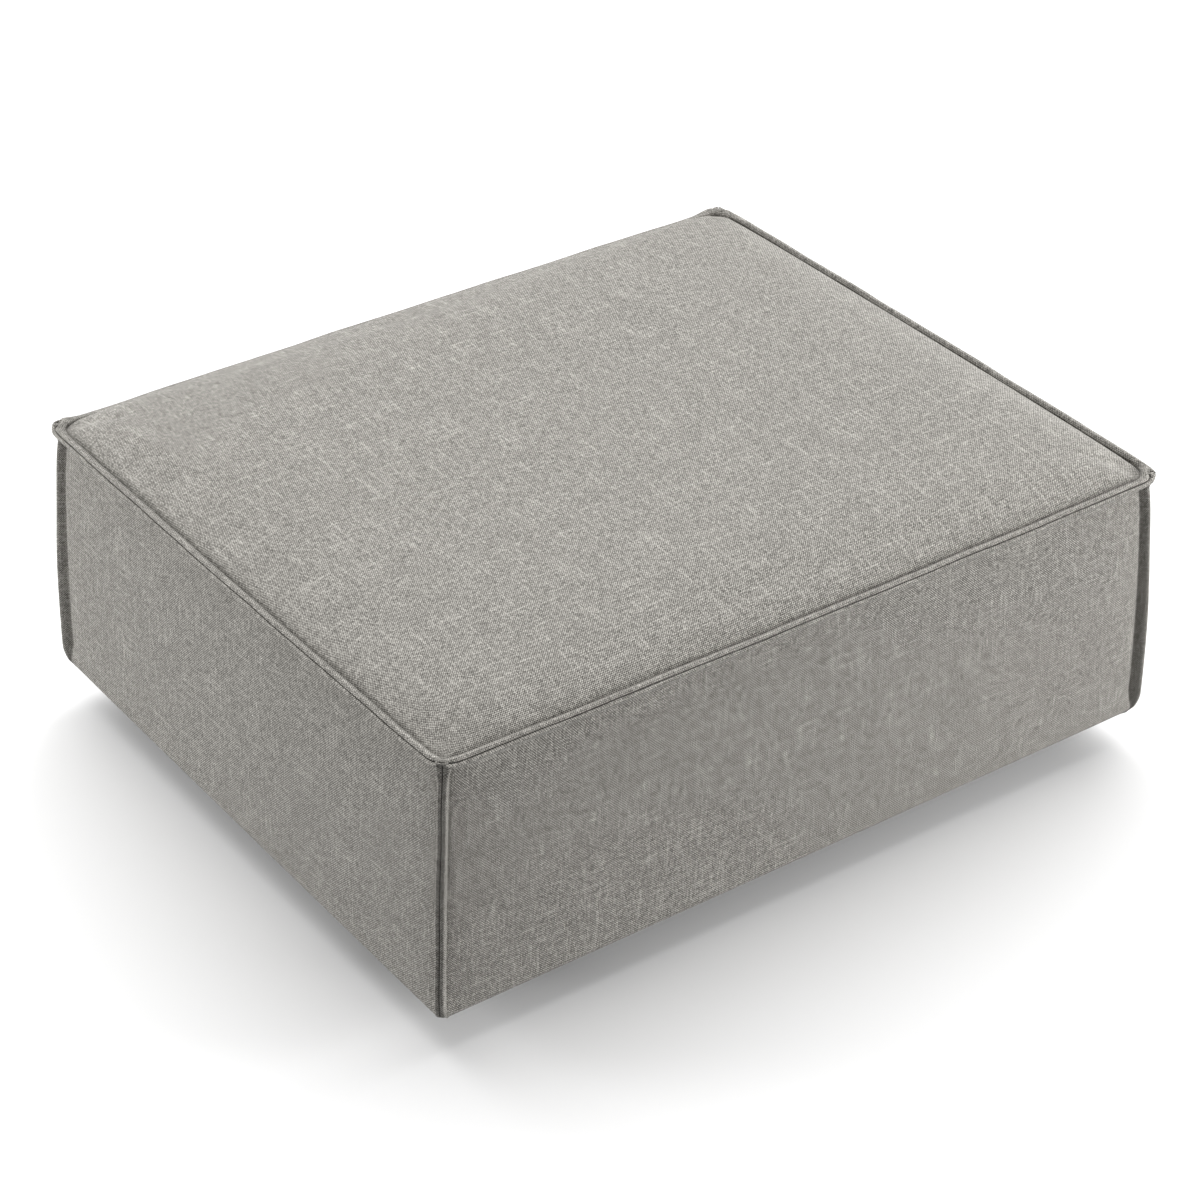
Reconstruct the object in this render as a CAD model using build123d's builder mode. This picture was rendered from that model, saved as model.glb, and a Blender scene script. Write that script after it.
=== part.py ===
"""Modular ottoman: a timber frame with a woven webbing deck, a crowned foam seat and a
fabric cover whose seams stand up as double lips. Lengths are in millimetres. X is the
long side, the front looks along minus Y, and the feet stand on Z zero."""

import os
from math import cos, hypot, radians, sin

from build123d import *

os.makedirs("parts", exist_ok=True)

# Padded body, measured over the cover at the middle of each side
base_length = 1046.0
base_depth = 866.0
seam_length = 1022.0
seam_depth = 862.0
body_height = 345.0
foot_height = 44.0

# Outline of the body at its base and at its top seam
base_corner_radius = 15.0
seam_corner_radius = 18.0
least_corner_radius = 4.0
base_bow = 0.6
seam_bow = 3.0
bottom_edge_radius = 8.0
least_edge_radius = 4.0
wall_bulge = 3.0
edge_turns = (0, 25, 50, 70, 90)
wall_shares = (0.3, 0.6, 0.85, 1)

# Crown of the seat above the top seam
shoulder_width = 60.0
shoulder_height = 36.5
crown_height = 4.5
plateau_depth = 102.0
shoulder_turns = (0, 17, 34, 51, 68, 84)
crown_shares = (0.4, 0.7, 1)
corner_growth_share = 1.3
corner_limit_share = 0.8

# Cover and its double lips
skin = 2.5
groove = 0.5
lip_thickness = 5.5
top_lip_width = 12.7
top_lip_tilt = 35
corner_lip_width = 10.4
corner_lip_end_radius = 33.0
corner_lip_turn = 50
lip_round_share = 0.42
lip_foot = 3.4
lip_root = 4.0
lip_crest = 0.3
tuck_width = 60.0

# Padding
soft_gap = 0.3
wadding_thickness = 12.0
felt_thickness = 4.0

# Timber frame
frame_length = 976.0
frame_depth = 796.0
frame_height = 210.0
board = 22.0
bottom_rail_height = 80.0
top_rail_height = 60.0
post_width = 40.0
stud_width = 60.0
brace_width = 90.0
deck_brace_height = 50.0
deck_brace_drop = 6.0
hardboard_thickness = 3.0
hardboard_lift = 6.0
leg_block_width = 130.0
leg_block_cut = 50.0
leg_block_thickness = 18.0

# Woven webbing
webbing_width = 70.0
webbing_thickness = 2.0
webbing_clearance = 0.4
webbing_end_margin = 2.0
webbing_flat_margin = 6.0
long_strap_count = 5
cross_strap_count = 6

# Feet, their fixings and the dust cover
dust_cover_thickness = 1.2
dust_cover_margin = 41.0
foot_top_diameter = 64.0
foot_bottom_diameter = 50.0
foot_waist_share = 0.92
foot_flange_height = 5.0
foot_edge_radius = 2.5
glide_diameter = 42.0
glide_thickness = 4.0
glide_recess = 2.0
stud_diameter = 8.0
stud_depth = 22.0
stud_rise = 3.0
stud_clearance = 0.1
foot_plate_width = 90.0
foot_plate_corner = 10.0
nut_barrel_diameter = 10.0
nut_barrel_length = 12.0
nut_flange_diameter = 24.0
nut_flange_thickness = 1.6
overrun = 5.0

# Heights that follow from the sizes above
dust_cover_z = foot_height
base_z = dust_cover_z + dust_cover_thickness + soft_gap
wall_z = base_z + bottom_edge_radius
seam_z = base_z + body_height
frame_z = base_z + skin + soft_gap
deck_z = frame_z + frame_height
webbing_lift = (webbing_thickness + webbing_clearance) / 2
felt_z = deck_z + webbing_thickness + webbing_lift + soft_gap
foam_z = felt_z + felt_thickness + soft_gap
crown_reach = (seam_depth - plateau_depth) / 2
padding_inset = skin + soft_gap

corners = {
    "front_left": (-1, -1),
    "front_right": (1, -1),
    "back_left": (-1, 1),
    "back_right": (1, 1),
}
sides = {
    "front": ("front_left", "front_right"),
    "back": ("back_left", "back_right"),
    "left": ("front_left", "back_left"),
    "right": ("front_right", "back_right"),
}
side_directions = {"front": (0, -1), "back": (0, 1), "left": (-1, 0), "right": (1, 0)}


def save(solid, name):
    """Label a finished piece and write it to its own file."""
    solid.label = name
    export_step(solid, f"parts/{name}.step")


def outline(height, half_length, half_depth, bow, corner_radius):
    """A level rectangle with sides bowed outwards and round corners."""
    x, y = half_length - bow, half_depth - bow
    with BuildSketch(Plane.XY.offset(height)) as level:
        with BuildLine():
            ThreePointArc((-x, -y), (0, -half_depth), (x, -y))
            ThreePointArc((x, -y), (half_length, 0), (x, y))
            ThreePointArc((x, y), (0, half_depth), (-x, y))
            ThreePointArc((-x, y), (-half_length, 0), (-x, -y))
        make_face()
        fillet(level.vertices(), max(corner_radius, least_corner_radius))
    return level.sketch


def wall_levels(inset):
    """Outlines from the round bottom edge up to the top seam, all drawn in by inset."""
    levels = []
    edge = max(bottom_edge_radius - inset, least_edge_radius)
    for turn in edge_turns:
        drawn_in = inset + edge * (1 - sin(radians(turn)))
        levels.append(
            outline(
                base_z + inset + edge * (1 - cos(radians(turn))),
                base_length / 2 - drawn_in,
                base_depth / 2 - drawn_in,
                base_bow,
                base_corner_radius - drawn_in,
            )
        )
    for share in wall_shares:
        bulge = wall_bulge * 4 * share * (1 - share) - inset
        levels.append(
            outline(
                wall_z + (seam_z - wall_z) * share,
                (base_length + (seam_length - base_length) * share) / 2 + bulge,
                (base_depth + (seam_depth - base_depth) * share) / 2 + bulge,
                base_bow + (seam_bow - base_bow) * share,
                base_corner_radius + (seam_corner_radius - base_corner_radius) * share - inset,
            )
        )
    return levels


def crown_level(drawn_in, rise, inset, lean):
    """One outline of the crown: lean is 1 where the panel stands and 0 where it lies."""
    growth = seam_corner_radius + corner_growth_share * drawn_in
    limit = corner_limit_share * (seam_depth / 2 - drawn_in)
    inward = drawn_in + inset * lean
    return outline(
        seam_z + rise + crown_height * (1 - (1 - drawn_in / crown_reach) ** 2),
        seam_length / 2 - inward,
        seam_depth / 2 - inward,
        seam_bow,
        min(growth, limit) - inset * lean,
    )


def crown_levels(inset):
    """Outlines over the rolled shoulder and the slow crown, up to a small level middle."""
    levels = []
    for turn in shoulder_turns:
        across = cos(radians(turn)) / shoulder_width
        upward = sin(radians(turn)) / shoulder_height
        lean = across / hypot(across, upward)
        lift = upward / hypot(across, upward)
        drawn_in = shoulder_width * (1 - cos(radians(turn)))
        rise = shoulder_height * sin(radians(turn)) - inset * lift
        levels.append(crown_level(drawn_in, rise, inset, lean))
    for share in crown_shares:
        levels.append(crown_level(crown_reach * share, shoulder_height - inset, inset, 0))
    return levels


def body_form(inset):
    """The padded body from its underside to its crown, drawn in by inset all round."""
    with BuildPart() as form:
        add(wall_levels(inset))
        loft(ruled=True)
        add(crown_levels(inset))
        loft(ruled=True)
    return form.part


def mitre(corner):
    """The upright plane in which two side panels meet. It faces the longer panel."""
    side_x, side_y = corners[corner]
    low_inset = base_bow + base_corner_radius
    high_inset = seam_bow + seam_corner_radius
    low = Vector(
        side_x * (base_length / 2 - low_inset), side_y * (base_depth / 2 - low_inset), wall_z
    )
    high = Vector(
        side_x * (seam_length / 2 - high_inset), side_y * (seam_depth / 2 - high_inset), seam_z
    )
    outward = Vector(side_x, side_y, 0).normalized()
    facing = (high - low).cross(outward) * (side_x * side_y)
    return Plane(origin=low, x_dir=outward, z_dir=facing), high


def cut_to_side(side, gap):
    """Keep one side's share of a ring, gap apart from its neighbours at the corners."""
    for corner in sides[side]:
        plane, _ = mitre(corner)
        if side in ("front", "back"):
            split(bisect_by=plane.offset(gap / 2), keep=Keep.TOP)
        else:
            split(bisect_by=plane.offset(-gap / 2), keep=Keep.BOTTOM)


def flange_point(along, up):
    """A point of the tilted flange: along its stand and up through its thickness."""
    tilt = radians(top_lip_tilt)
    return (along * cos(tilt) - up * sin(tilt), along * sin(tilt) + up * cos(tilt))


def seam_levels(points):
    """Outlines that follow the top seam, each set out and up from it by one point."""
    return [
        outline(
            seam_z + up,
            seam_length / 2 + out,
            seam_depth / 2 + out,
            seam_bow,
            seam_corner_radius + out,
        )
        for out, up in points
    ]


def top_lip(root_points, under, inner_root):
    """A lip all round the top seam, with its underside at the named height on the flange.

    Its middle is filled, and the hollow of the cover that it joins is cut out later.
    """
    tip_round = lip_thickness * lip_round_share
    top = under + lip_thickness
    tip = [
        flange_point(top_lip_width - tip_round, under),
        flange_point(top_lip_width, under + tip_round),
        flange_point(top_lip_width, top - tip_round),
        flange_point(top_lip_width - tip_round, top),
    ]
    start = (inner_root[0] - lip_crest, inner_root[1])
    crest = (tip[-1][0] - lip_crest, tip[-1][1])
    beyond = (2 * crest[0] - start[0], 2 * crest[1] - start[1])
    with BuildPart() as lip:
        add(seam_levels([*root_points, *tip]))
        loft(ruled=True)
        add(seam_levels([start, beyond]))
        loft(ruled=True, mode=Mode.SUBTRACT)
    return lip.part


def corner_lip(corner, facing):
    """A standing lip down one corner, on the long panel's side of the seam or the other.

    Its lower end curves in until it runs out at the bottom edge.
    """
    plane, high = mitre(corner)
    side_x, side_y = corners[corner]
    up_sign = -side_x * side_y
    top = plane.to_local_coords(high)
    middle = (corner_lip_width - lip_root) / 2
    wall_reach = base_corner_radius + middle
    end_radius = corner_lip_end_radius + middle
    end_centre = base_corner_radius - corner_lip_end_radius
    end_height = up_sign * (corner_lip_end_radius - bottom_edge_radius)
    offset = facing * (groove + lip_thickness) / 2
    with BuildPart() as lip:
        with BuildLine(plane.offset(offset)) as route:
            top_height = top.Y - up_sign * 2 * groove
            Line((top.X + seam_corner_radius + middle, top_height), (wall_reach, end_height))
            CenterArc((end_centre, end_height), end_radius, 0, -up_sign * corner_lip_turn)
        path = route.wires()[0]
        across = plane.x_dir
        with BuildSketch(Plane(origin=path @ 0, x_dir=across, z_dir=path % 0)) as section:
            Rectangle(corner_lip_width + lip_root, lip_thickness)
            fillet(section.vertices().sort_by(Axis.X)[-2:], lip_thickness * lip_round_share)
        sweep(path=path)
    return lip.part


# Cover: the crowned top panel with the upper lip of its seam
cover_outer = body_form(0)
cover_inner = body_form(skin)

with BuildPart() as top_cover:
    add(cover_outer)
    split(bisect_by=Plane.XY.offset(seam_z), keep=Keep.TOP)
    add(top_lip([(-skin / 2, groove)], 0, flange_point(0, lip_thickness)))
    add(cover_inner, mode=Mode.SUBTRACT)
save(top_cover.part, "top_cover")

# Cover: the four side panels with the lower lip, their corner lips and the tuck below
with BuildPart() as cover_walls:
    add(cover_outer)
    split(bisect_by=Plane.XY.offset(seam_z - groove), keep=Keep.BOTTOM)
    with Locations((0, 0, base_z)):
        Box(
            base_length - 2 * tuck_width,
            base_depth - 2 * tuck_width,
            overrun,
            mode=Mode.SUBTRACT,
        )
    lower_root = [(-skin / 2, -lip_thickness - lip_foot), flange_point(0, -groove - lip_thickness)]
    add(top_lip(lower_root, -groove - lip_thickness, (-skin / 2, -3 * groove)))
    add(cover_inner, mode=Mode.SUBTRACT)

for side, ends in sides.items():
    facing = 1 if side in ("front", "back") else -1
    with BuildPart() as panel:
        add(cover_walls.part)
        cut_to_side(side, groove)
        for corner in ends:
            add(corner_lip(corner, facing))
        add(cover_inner, mode=Mode.SUBTRACT)
    save(panel.part, f"{side}_cover")

# Padding: a fibre wrap over the foam seat, and foam on the four sides of the frame
padding_outer = body_form(padding_inset)

with BuildPart() as seat_wadding:
    add(padding_outer)
    add(body_form(padding_inset + wadding_thickness), mode=Mode.SUBTRACT)
    split(bisect_by=Plane.XY.offset(deck_z + soft_gap), keep=Keep.TOP)
save(seat_wadding.part, "seat_wadding")

with BuildPart() as seat_foam:
    add(body_form(padding_inset + wadding_thickness + soft_gap))
    split(bisect_by=Plane.XY.offset(foam_z), keep=Keep.TOP)
save(seat_foam.part, "seat_foam_core")

with BuildPart() as deck_felt:
    with Locations((0, 0, felt_z)):
        Box(
            frame_length,
            frame_depth,
            felt_thickness,
            align=(Align.CENTER, Align.CENTER, Align.MIN),
        )
save(deck_felt.part, "deck_felt")

lining = hardboard_thickness + soft_gap
with BuildPart() as foam_ring:
    add(padding_outer)
    split(bisect_by=Plane.XY.offset(deck_z), keep=Keep.BOTTOM)
    Box(
        frame_length + 2 * lining,
        frame_depth + 2 * lining,
        2 * (deck_z + overrun),
        mode=Mode.SUBTRACT,
    )

for side in sides:
    with BuildPart() as side_foam:
        add(foam_ring.part)
        cut_to_side(side, soft_gap)
    save(side_foam.part, f"{side}_side_foam")

# Frame: rails on edge, the front and back ones running past the side ones
inner_length = frame_length - 2 * board
inner_depth = frame_depth - 2 * board
rail_rows = {
    "bottom_rail": (frame_z, bottom_rail_height),
    "top_rail": (deck_z - top_rail_height, top_rail_height),
}

for row, (height, depth) in rail_rows.items():
    for side, (side_x, side_y) in side_directions.items():
        with BuildPart() as rail:
            with BuildSketch(Plane.XY.offset(height)):
                centre = (side_x * (frame_length - board) / 2, side_y * (frame_depth - board) / 2)
                with Locations(centre):
                    if side_x == 0:
                        Rectangle(frame_length, board)
                    else:
                        Rectangle(board, inner_depth)
            extrude(amount=depth)
        save(rail.part, f"{row}_{side}")

for side, (side_x, side_y) in side_directions.items():
    with BuildPart() as panel:
        with BuildSketch(Plane.XY.offset(frame_z + hardboard_lift)):
            centre = (
                side_x * (frame_length + hardboard_thickness) / 2,
                side_y * (frame_depth + hardboard_thickness) / 2,
            )
            with Locations(centre):
                if side_x == 0:
                    Rectangle(frame_length + 2 * hardboard_thickness, hardboard_thickness)
                else:
                    Rectangle(hardboard_thickness, frame_depth)
        extrude(amount=frame_height - hardboard_lift)
    save(panel.part, f"{side}_hardboard")

for side in ("front", "back"):
    side_y = side_directions[side][1]
    with BuildPart() as stud:
        with BuildSketch(Plane.XY.offset(frame_z + bottom_rail_height)):
            with Locations((0, side_y * (frame_depth - board) / 2)):
                Rectangle(stud_width, board)
        extrude(amount=frame_height - bottom_rail_height - top_rail_height)
    save(stud.part, f"frame_stud_{side}")

with BuildPart() as base_brace:
    with BuildSketch(Plane.XY.offset(frame_z)):
        Rectangle(brace_width, inner_depth)
    extrude(amount=board)
save(base_brace.part, "base_brace")

with BuildPart() as deck_brace:
    with BuildSketch(Plane.XY.offset(deck_z - deck_brace_drop - deck_brace_height)):
        Rectangle(board, inner_depth)
    extrude(amount=deck_brace_height)
save(deck_brace.part, "deck_brace")

# Corners: a leg block with its nut, and a post that stands on the block
foot_x = (inner_length - leg_block_width) / 2
foot_y = (inner_depth - leg_block_width) / 2
foot_places = [(side_x * foot_x, side_y * foot_y) for side_x, side_y in corners.values()]
nut_hole_radius = nut_barrel_diameter / 2 + stud_clearance
stud_hole_radius = stud_diameter / 2 + stud_clearance

for corner, (side_x, side_y) in corners.items():
    with BuildPart() as leg_block:
        with BuildSketch(Plane.XY.offset(frame_z)) as block_plan:
            with Locations((side_x * foot_x, side_y * foot_y)):
                Rectangle(leg_block_width, leg_block_width)
            inner_corner = block_plan.vertices().sort_by_distance((0, 0, frame_z))[0]
            chamfer(inner_corner, leg_block_cut)
            with Locations((side_x * foot_x, side_y * foot_y)):
                Circle(nut_hole_radius, mode=Mode.SUBTRACT)
        extrude(amount=leg_block_thickness)
    save(leg_block.part, f"leg_block_{corner}")

    with BuildPart() as post:
        with BuildSketch(Plane.XY.offset(frame_z + leg_block_thickness)):
            centre = (
                side_x * (inner_length - post_width) / 2,
                side_y * (inner_depth - post_width) / 2,
            )
            with Locations(centre):
                Rectangle(post_width, post_width)
        extrude(amount=frame_height - leg_block_thickness)
    save(post.part, f"corner_post_{corner}")

# Deck: elastic straps woven over and under each other
long_pitch = inner_depth / long_strap_count
cross_pitch = inner_length / cross_strap_count


def strap(plane, span, pitch, count, half_opening, first_over):
    """A strap that rises over and dips under each strap that it crosses."""
    half_flat = webbing_width / 2 + webbing_flat_margin
    route = [(-span / 2, 0), (-half_opening, 0)]
    for crossing in range(count):
        middle = (crossing - (count - 1) / 2) * pitch
        level = webbing_lift if (crossing + first_over) % 2 == 0 else -webbing_lift
        route += [(middle - half_flat, level), (middle + half_flat, level)]
    route += [(half_opening, 0), (span / 2, 0)]
    upper = [(x, z + webbing_thickness) for x, z in route]
    with BuildPart() as woven:
        with BuildSketch(plane):
            with BuildLine():
                Polyline(*route, *reversed(upper), close=True)
            make_face()
        extrude(amount=webbing_width / 2, both=True)
    return woven.part


for number in range(long_strap_count):
    place = (number - (long_strap_count - 1) / 2) * long_pitch
    plane = Plane(origin=(0, place, deck_z), x_dir=(1, 0, 0), z_dir=(0, -1, 0))
    span = frame_length - 2 * webbing_end_margin
    woven = strap(plane, span, cross_pitch, cross_strap_count, inner_length / 2, number)
    save(woven, f"webbing_lengthwise_{number + 1}")

for number in range(cross_strap_count):
    place = (number - (cross_strap_count - 1) / 2) * cross_pitch
    plane = Plane(origin=(place, 0, deck_z), x_dir=(0, 1, 0), z_dir=(1, 0, 0))
    span = frame_depth - 2 * webbing_end_margin
    woven = strap(plane, span, long_pitch, long_strap_count, inner_depth / 2, number + 1)
    save(woven, f"webbing_crosswise_{number + 1}")

# Underside: dust cover, foot plates, studs, nuts, feet and their glides
with BuildPart() as dust_cover:
    with BuildSketch(Plane.XY.offset(dust_cover_z)) as sheet:
        Rectangle(base_length - 2 * dust_cover_margin, base_depth - 2 * dust_cover_margin)
        fillet(sheet.vertices(), foot_plate_corner)
        with Locations(*foot_places):
            Circle(stud_hole_radius, mode=Mode.SUBTRACT)
    extrude(amount=dust_cover_thickness)
save(dust_cover.part, "dust_cover")

with BuildPart() as foot_plates:
    with BuildSketch(Plane.XY.offset(dust_cover_z + dust_cover_thickness)) as plates:
        with Locations(*foot_places):
            RectangleRounded(foot_plate_width, foot_plate_width, foot_plate_corner)
            Circle(stud_hole_radius, mode=Mode.SUBTRACT)
    extrude(amount=frame_z - dust_cover_z - dust_cover_thickness)
save(foot_plates.part, "foot_plates")

block_top_z = frame_z + leg_block_thickness
with BuildPart() as leg_nuts:
    with BuildSketch(Plane.XY.offset(block_top_z)):
        with Locations(*foot_places):
            Circle(nut_flange_diameter / 2)
    extrude(amount=nut_flange_thickness)
    with BuildSketch(Plane.XY.offset(block_top_z - nut_barrel_length)):
        with Locations(*foot_places):
            Circle(nut_barrel_diameter / 2)
    extrude(amount=nut_barrel_length)
    with BuildSketch(Plane.XY.offset(block_top_z - nut_barrel_length)):
        with Locations(*foot_places):
            Circle(stud_hole_radius)
    extrude(amount=nut_barrel_length + nut_flange_thickness, mode=Mode.SUBTRACT)
save(leg_nuts.part, "leg_nuts")

with BuildPart() as foot_studs:
    with BuildSketch(Plane.XY.offset(foot_height - stud_depth)):
        with Locations(*foot_places):
            Circle(stud_diameter / 2)
    extrude(amount=block_top_z + stud_rise - foot_height + stud_depth)
save(foot_studs.part, "foot_studs")

for corner, place in zip(corners, foot_places):
    glide_rim_z = glide_thickness - glide_recess
    flange_z = foot_height - foot_flange_height
    waist_radius = foot_waist_share * foot_top_diameter / 2
    foot_axis = Plane(origin=(*place, 0), x_dir=(1, 0, 0), z_dir=(0, -1, 0))
    with BuildPart() as foot:
        with BuildSketch(foot_axis):
            with BuildLine():
                Line((0, glide_rim_z), (foot_bottom_diameter / 2, glide_rim_z))
                Line((foot_bottom_diameter / 2, glide_rim_z), (waist_radius, flange_z))
                Line((waist_radius, flange_z), (foot_top_diameter / 2, flange_z))
                Line((foot_top_diameter / 2, flange_z), (foot_top_diameter / 2, foot_height))
                Line((foot_top_diameter / 2, foot_height), (0, foot_height))
                Line((0, foot_height), (0, glide_rim_z))
            make_face()
        revolve(axis=Axis((*place, 0), (0, 0, 1)))
        rim = foot.edges().group_by(Axis.Z)[0]
        fillet(rim, foot_edge_radius / 2)
        with BuildSketch(Plane.XY.offset(glide_rim_z)):
            with Locations(place):
                Circle(glide_diameter / 2)
        extrude(amount=glide_recess, mode=Mode.SUBTRACT)
        with BuildSketch(Plane.XY.offset(foot_height)):
            with Locations(place):
                Circle(stud_hole_radius)
        extrude(amount=-stud_depth, mode=Mode.SUBTRACT)
    save(foot.part, f"foot_{corner}")

with BuildPart() as foot_glides:
    with BuildSketch():
        with Locations(*foot_places):
            Circle(glide_diameter / 2)
    extrude(amount=glide_thickness)
    chamfer(foot_glides.edges().group_by(Axis.Z)[0], glide_recess / 2)
save(foot_glides.part, "foot_glides")
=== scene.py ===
"""Modular ottoman: fabric cover with standing double-lip seams over foam, a woven webbing
deck and a timber frame. Every piece is made in metres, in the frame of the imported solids."""

from math import cos, exp, pi, radians, sin, sqrt

import bmesh
import bpy
import numpy as np
from mathutils import Matrix, Vector
from mathutils.geometry import delaunay_2d_cdt


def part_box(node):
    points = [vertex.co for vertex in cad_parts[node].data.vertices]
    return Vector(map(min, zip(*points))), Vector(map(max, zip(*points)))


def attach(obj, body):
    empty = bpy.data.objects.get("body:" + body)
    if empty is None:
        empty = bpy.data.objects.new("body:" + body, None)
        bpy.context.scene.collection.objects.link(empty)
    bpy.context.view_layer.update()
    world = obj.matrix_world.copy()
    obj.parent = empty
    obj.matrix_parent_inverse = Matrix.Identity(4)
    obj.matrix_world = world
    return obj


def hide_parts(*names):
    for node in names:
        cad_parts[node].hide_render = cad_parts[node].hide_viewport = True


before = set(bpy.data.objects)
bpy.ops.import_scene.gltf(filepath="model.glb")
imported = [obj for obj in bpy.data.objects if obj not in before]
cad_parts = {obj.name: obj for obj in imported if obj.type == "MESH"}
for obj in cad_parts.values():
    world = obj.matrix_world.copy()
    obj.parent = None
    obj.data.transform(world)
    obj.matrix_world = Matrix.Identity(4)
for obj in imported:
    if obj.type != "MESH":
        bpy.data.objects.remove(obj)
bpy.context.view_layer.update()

bl_info = {
    "name": "Modular Ottoman",
    "version": (1, 0, 0),
    "blender": (4, 5, 0),
    "location": "View3D > Sidebar > Ottoman",
    "description": "Builds the upholstered ottoman with its frame, padding, seams and stage",
    "category": "Object",
}

BODY = "root"
CORNERS = ("front_left", "front_right", "back_left", "back_right")
SIDES = ("front", "right", "back", "left")
# The direction along each side and the direction out of it
DIRECTIONS = {
    "front": ((1, 0), (0, -1)),
    "right": ((0, 1), (1, 0)),
    "back": ((-1, 0), (0, 1)),
    "left": ((0, -1), (-1, 0)),
}
SHEET_LOW, SHEET_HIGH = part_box("dust_cover")
# The corners at the start and at the end of each side
ENDS = {
    "front": ("front_left", "front_right"),
    "right": ("front_right", "back_right"),
    "back": ("back_right", "back_left"),
    "left": ("back_left", "front_left"),
}
# How far the top flange is laid over along each side, in degrees
LEANS = {"front": 0.0, "right": -26.0, "back": 50.0, "left": 0.0}


# Sizes and colours that a user would change


def length(name, description, default):
    """A length property in metres."""
    return bpy.props.FloatProperty(
        name=name, description=description, default=default,
        unit="LENGTH", subtype="DISTANCE", precision=4,
    )


def colour(name, description, default):
    """A colour property."""
    return bpy.props.FloatVectorProperty(
        name=name, description=description, default=default,
        size=3, min=0, max=1, subtype="COLOR",
    )


class OttomanSizes(bpy.types.PropertyGroup):
    """Sizes of the cover and the padding."""

    base_length: length("Base length", "Length of the body above its round bottom edge", 1.046)
    base_depth: length("Base depth", "Depth of the body above its round bottom edge", 0.866)
    seam_length: length("Seam length", "Length of the body at its top seam", 1.022)
    seam_depth: length("Seam depth", "Depth of the body at its top seam", 0.862)
    base_height: length("Base height", "Height of the underside above the floor", 0.0455)
    body_height: length("Body height", "Height from the underside to the top seam", 0.345)
    base_radius: length("Base corner radius", "Corner radius of the body at its base", 0.015)
    seam_radius: length("Seam corner radius", "Corner radius of the walls at the top seam", 0.018)
    crease_radius: length("Crease radius", "Corner radius of the top panel beside its lip", 0.004)
    mitre_radius: length("Mitre radius", "Corner radius of the flange round the top", 0.006)
    bottom_radius: length("Bottom edge radius", "Radius of the padded bottom edge", 0.013)
    lip_end: length("Corner lip end", "Radius where the corner lips run out at the bottom", 0.033)
    valley: length("Valley", "How far the cover is drawn in beside the corner seams", 0.006)
    valley_width: length("Valley width", "Distance over which the cover is drawn in", 0.022)
    corner_pull: length("Corner pull", "How far the top seam is pulled in at its corners", 0.0062)
    bulge: length("Wall bulge", "How far the padding swells each wall", 0.003)
    bow: length("Seam bow", "How far each top edge bows outwards", 0.003)
    base_bow: length("Base bow", "How far each bottom edge bows outwards", 0.0006)
    shoulder_width: length("Shoulder width", "Width of the rolled edge of the seat", 0.035)
    shoulder_height: length("Shoulder height", "Height of the rolled edge of the seat", 0.016)
    crown: length("Crown", "Rise of the seat from its rolled edge to the middle", 0.0245)
    crown_reach: length("Crown reach", "Distance over which the crown rises", 0.150)
    lip: length("Lip thickness", "Thickness of each seam lip", 0.0055)
    top_lip: length("Top lip width", "Width of the flange round the top", 0.0127)
    corner_lip: length("Corner lip width", "Width of the flange down each corner", 0.0104)
    groove: length("Groove", "Gap between the two lips of a seam", 0.0004)
    lip_tilt: bpy.props.FloatProperty(
        name="Lip tilt",
        description="How far the top flange is turned up from level",
        default=radians(35),
        subtype="ANGLE",
    )
    wave: length("Lip wave", "How far the top flange waves up and down", 0.0007)
    tuck: length("Tuck", "How far the fabric is turned under the body", 0.060)
    fabric: length("Fabric thickness", "Thickness of the cover fabric", 0.0012)
    swell: length("Swell", "The most that the cover may be pushed out by its filling", 0.0018)
    stitch: length("Stitch length", "Distance between two stitches", 0.0048)


class OttomanColours(bpy.types.PropertyGroup):
    """Colours of the finishes."""

    fabric: colour("Fabric", "Cover fabric", (0.264, 0.253, 0.230))
    fabric_dark: colour("Dark threads", "Darker threads of the cover fabric", (0.062, 0.058, 0.051))
    fabric_light: colour("Light threads", "Lighter slubs of the fabric", (0.610, 0.588, 0.543))
    thread: colour("Thread", "Sewing thread", (0.30, 0.29, 0.27))
    floor: colour("Floor", "Studio floor", (0.93, 0.93, 0.93))


def sizes():
    """The sizes set in the scene."""
    return bpy.context.scene.ottoman_sizes


def colours():
    """The colours set in the scene."""
    return bpy.context.scene.ottoman_colours


# Outlines and profiles of the padded body


def heights():
    """Heights of the foot of the walls, over their round edge, and of the top seam."""
    s = sizes()
    return s.base_height + s.bottom_radius, s.base_height + s.body_height


def pick(side, lengthwise, crosswise):
    """The value for the front and back sides, or the one for the left and right sides."""
    return lengthwise if side in ("front", "back") else crosswise


def directions(side):
    """The direction along a side and the direction out of it."""
    return (np.array(way, float) for way in DIRECTIONS[side])


def circle(count, radius, x=0.0, y=0.0):
    """Points of a circle about a place."""
    turns = [2 * pi * number / count for number in range(count)]
    return [(x + radius * cos(turn), y + radius * sin(turn)) for turn in turns]


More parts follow.
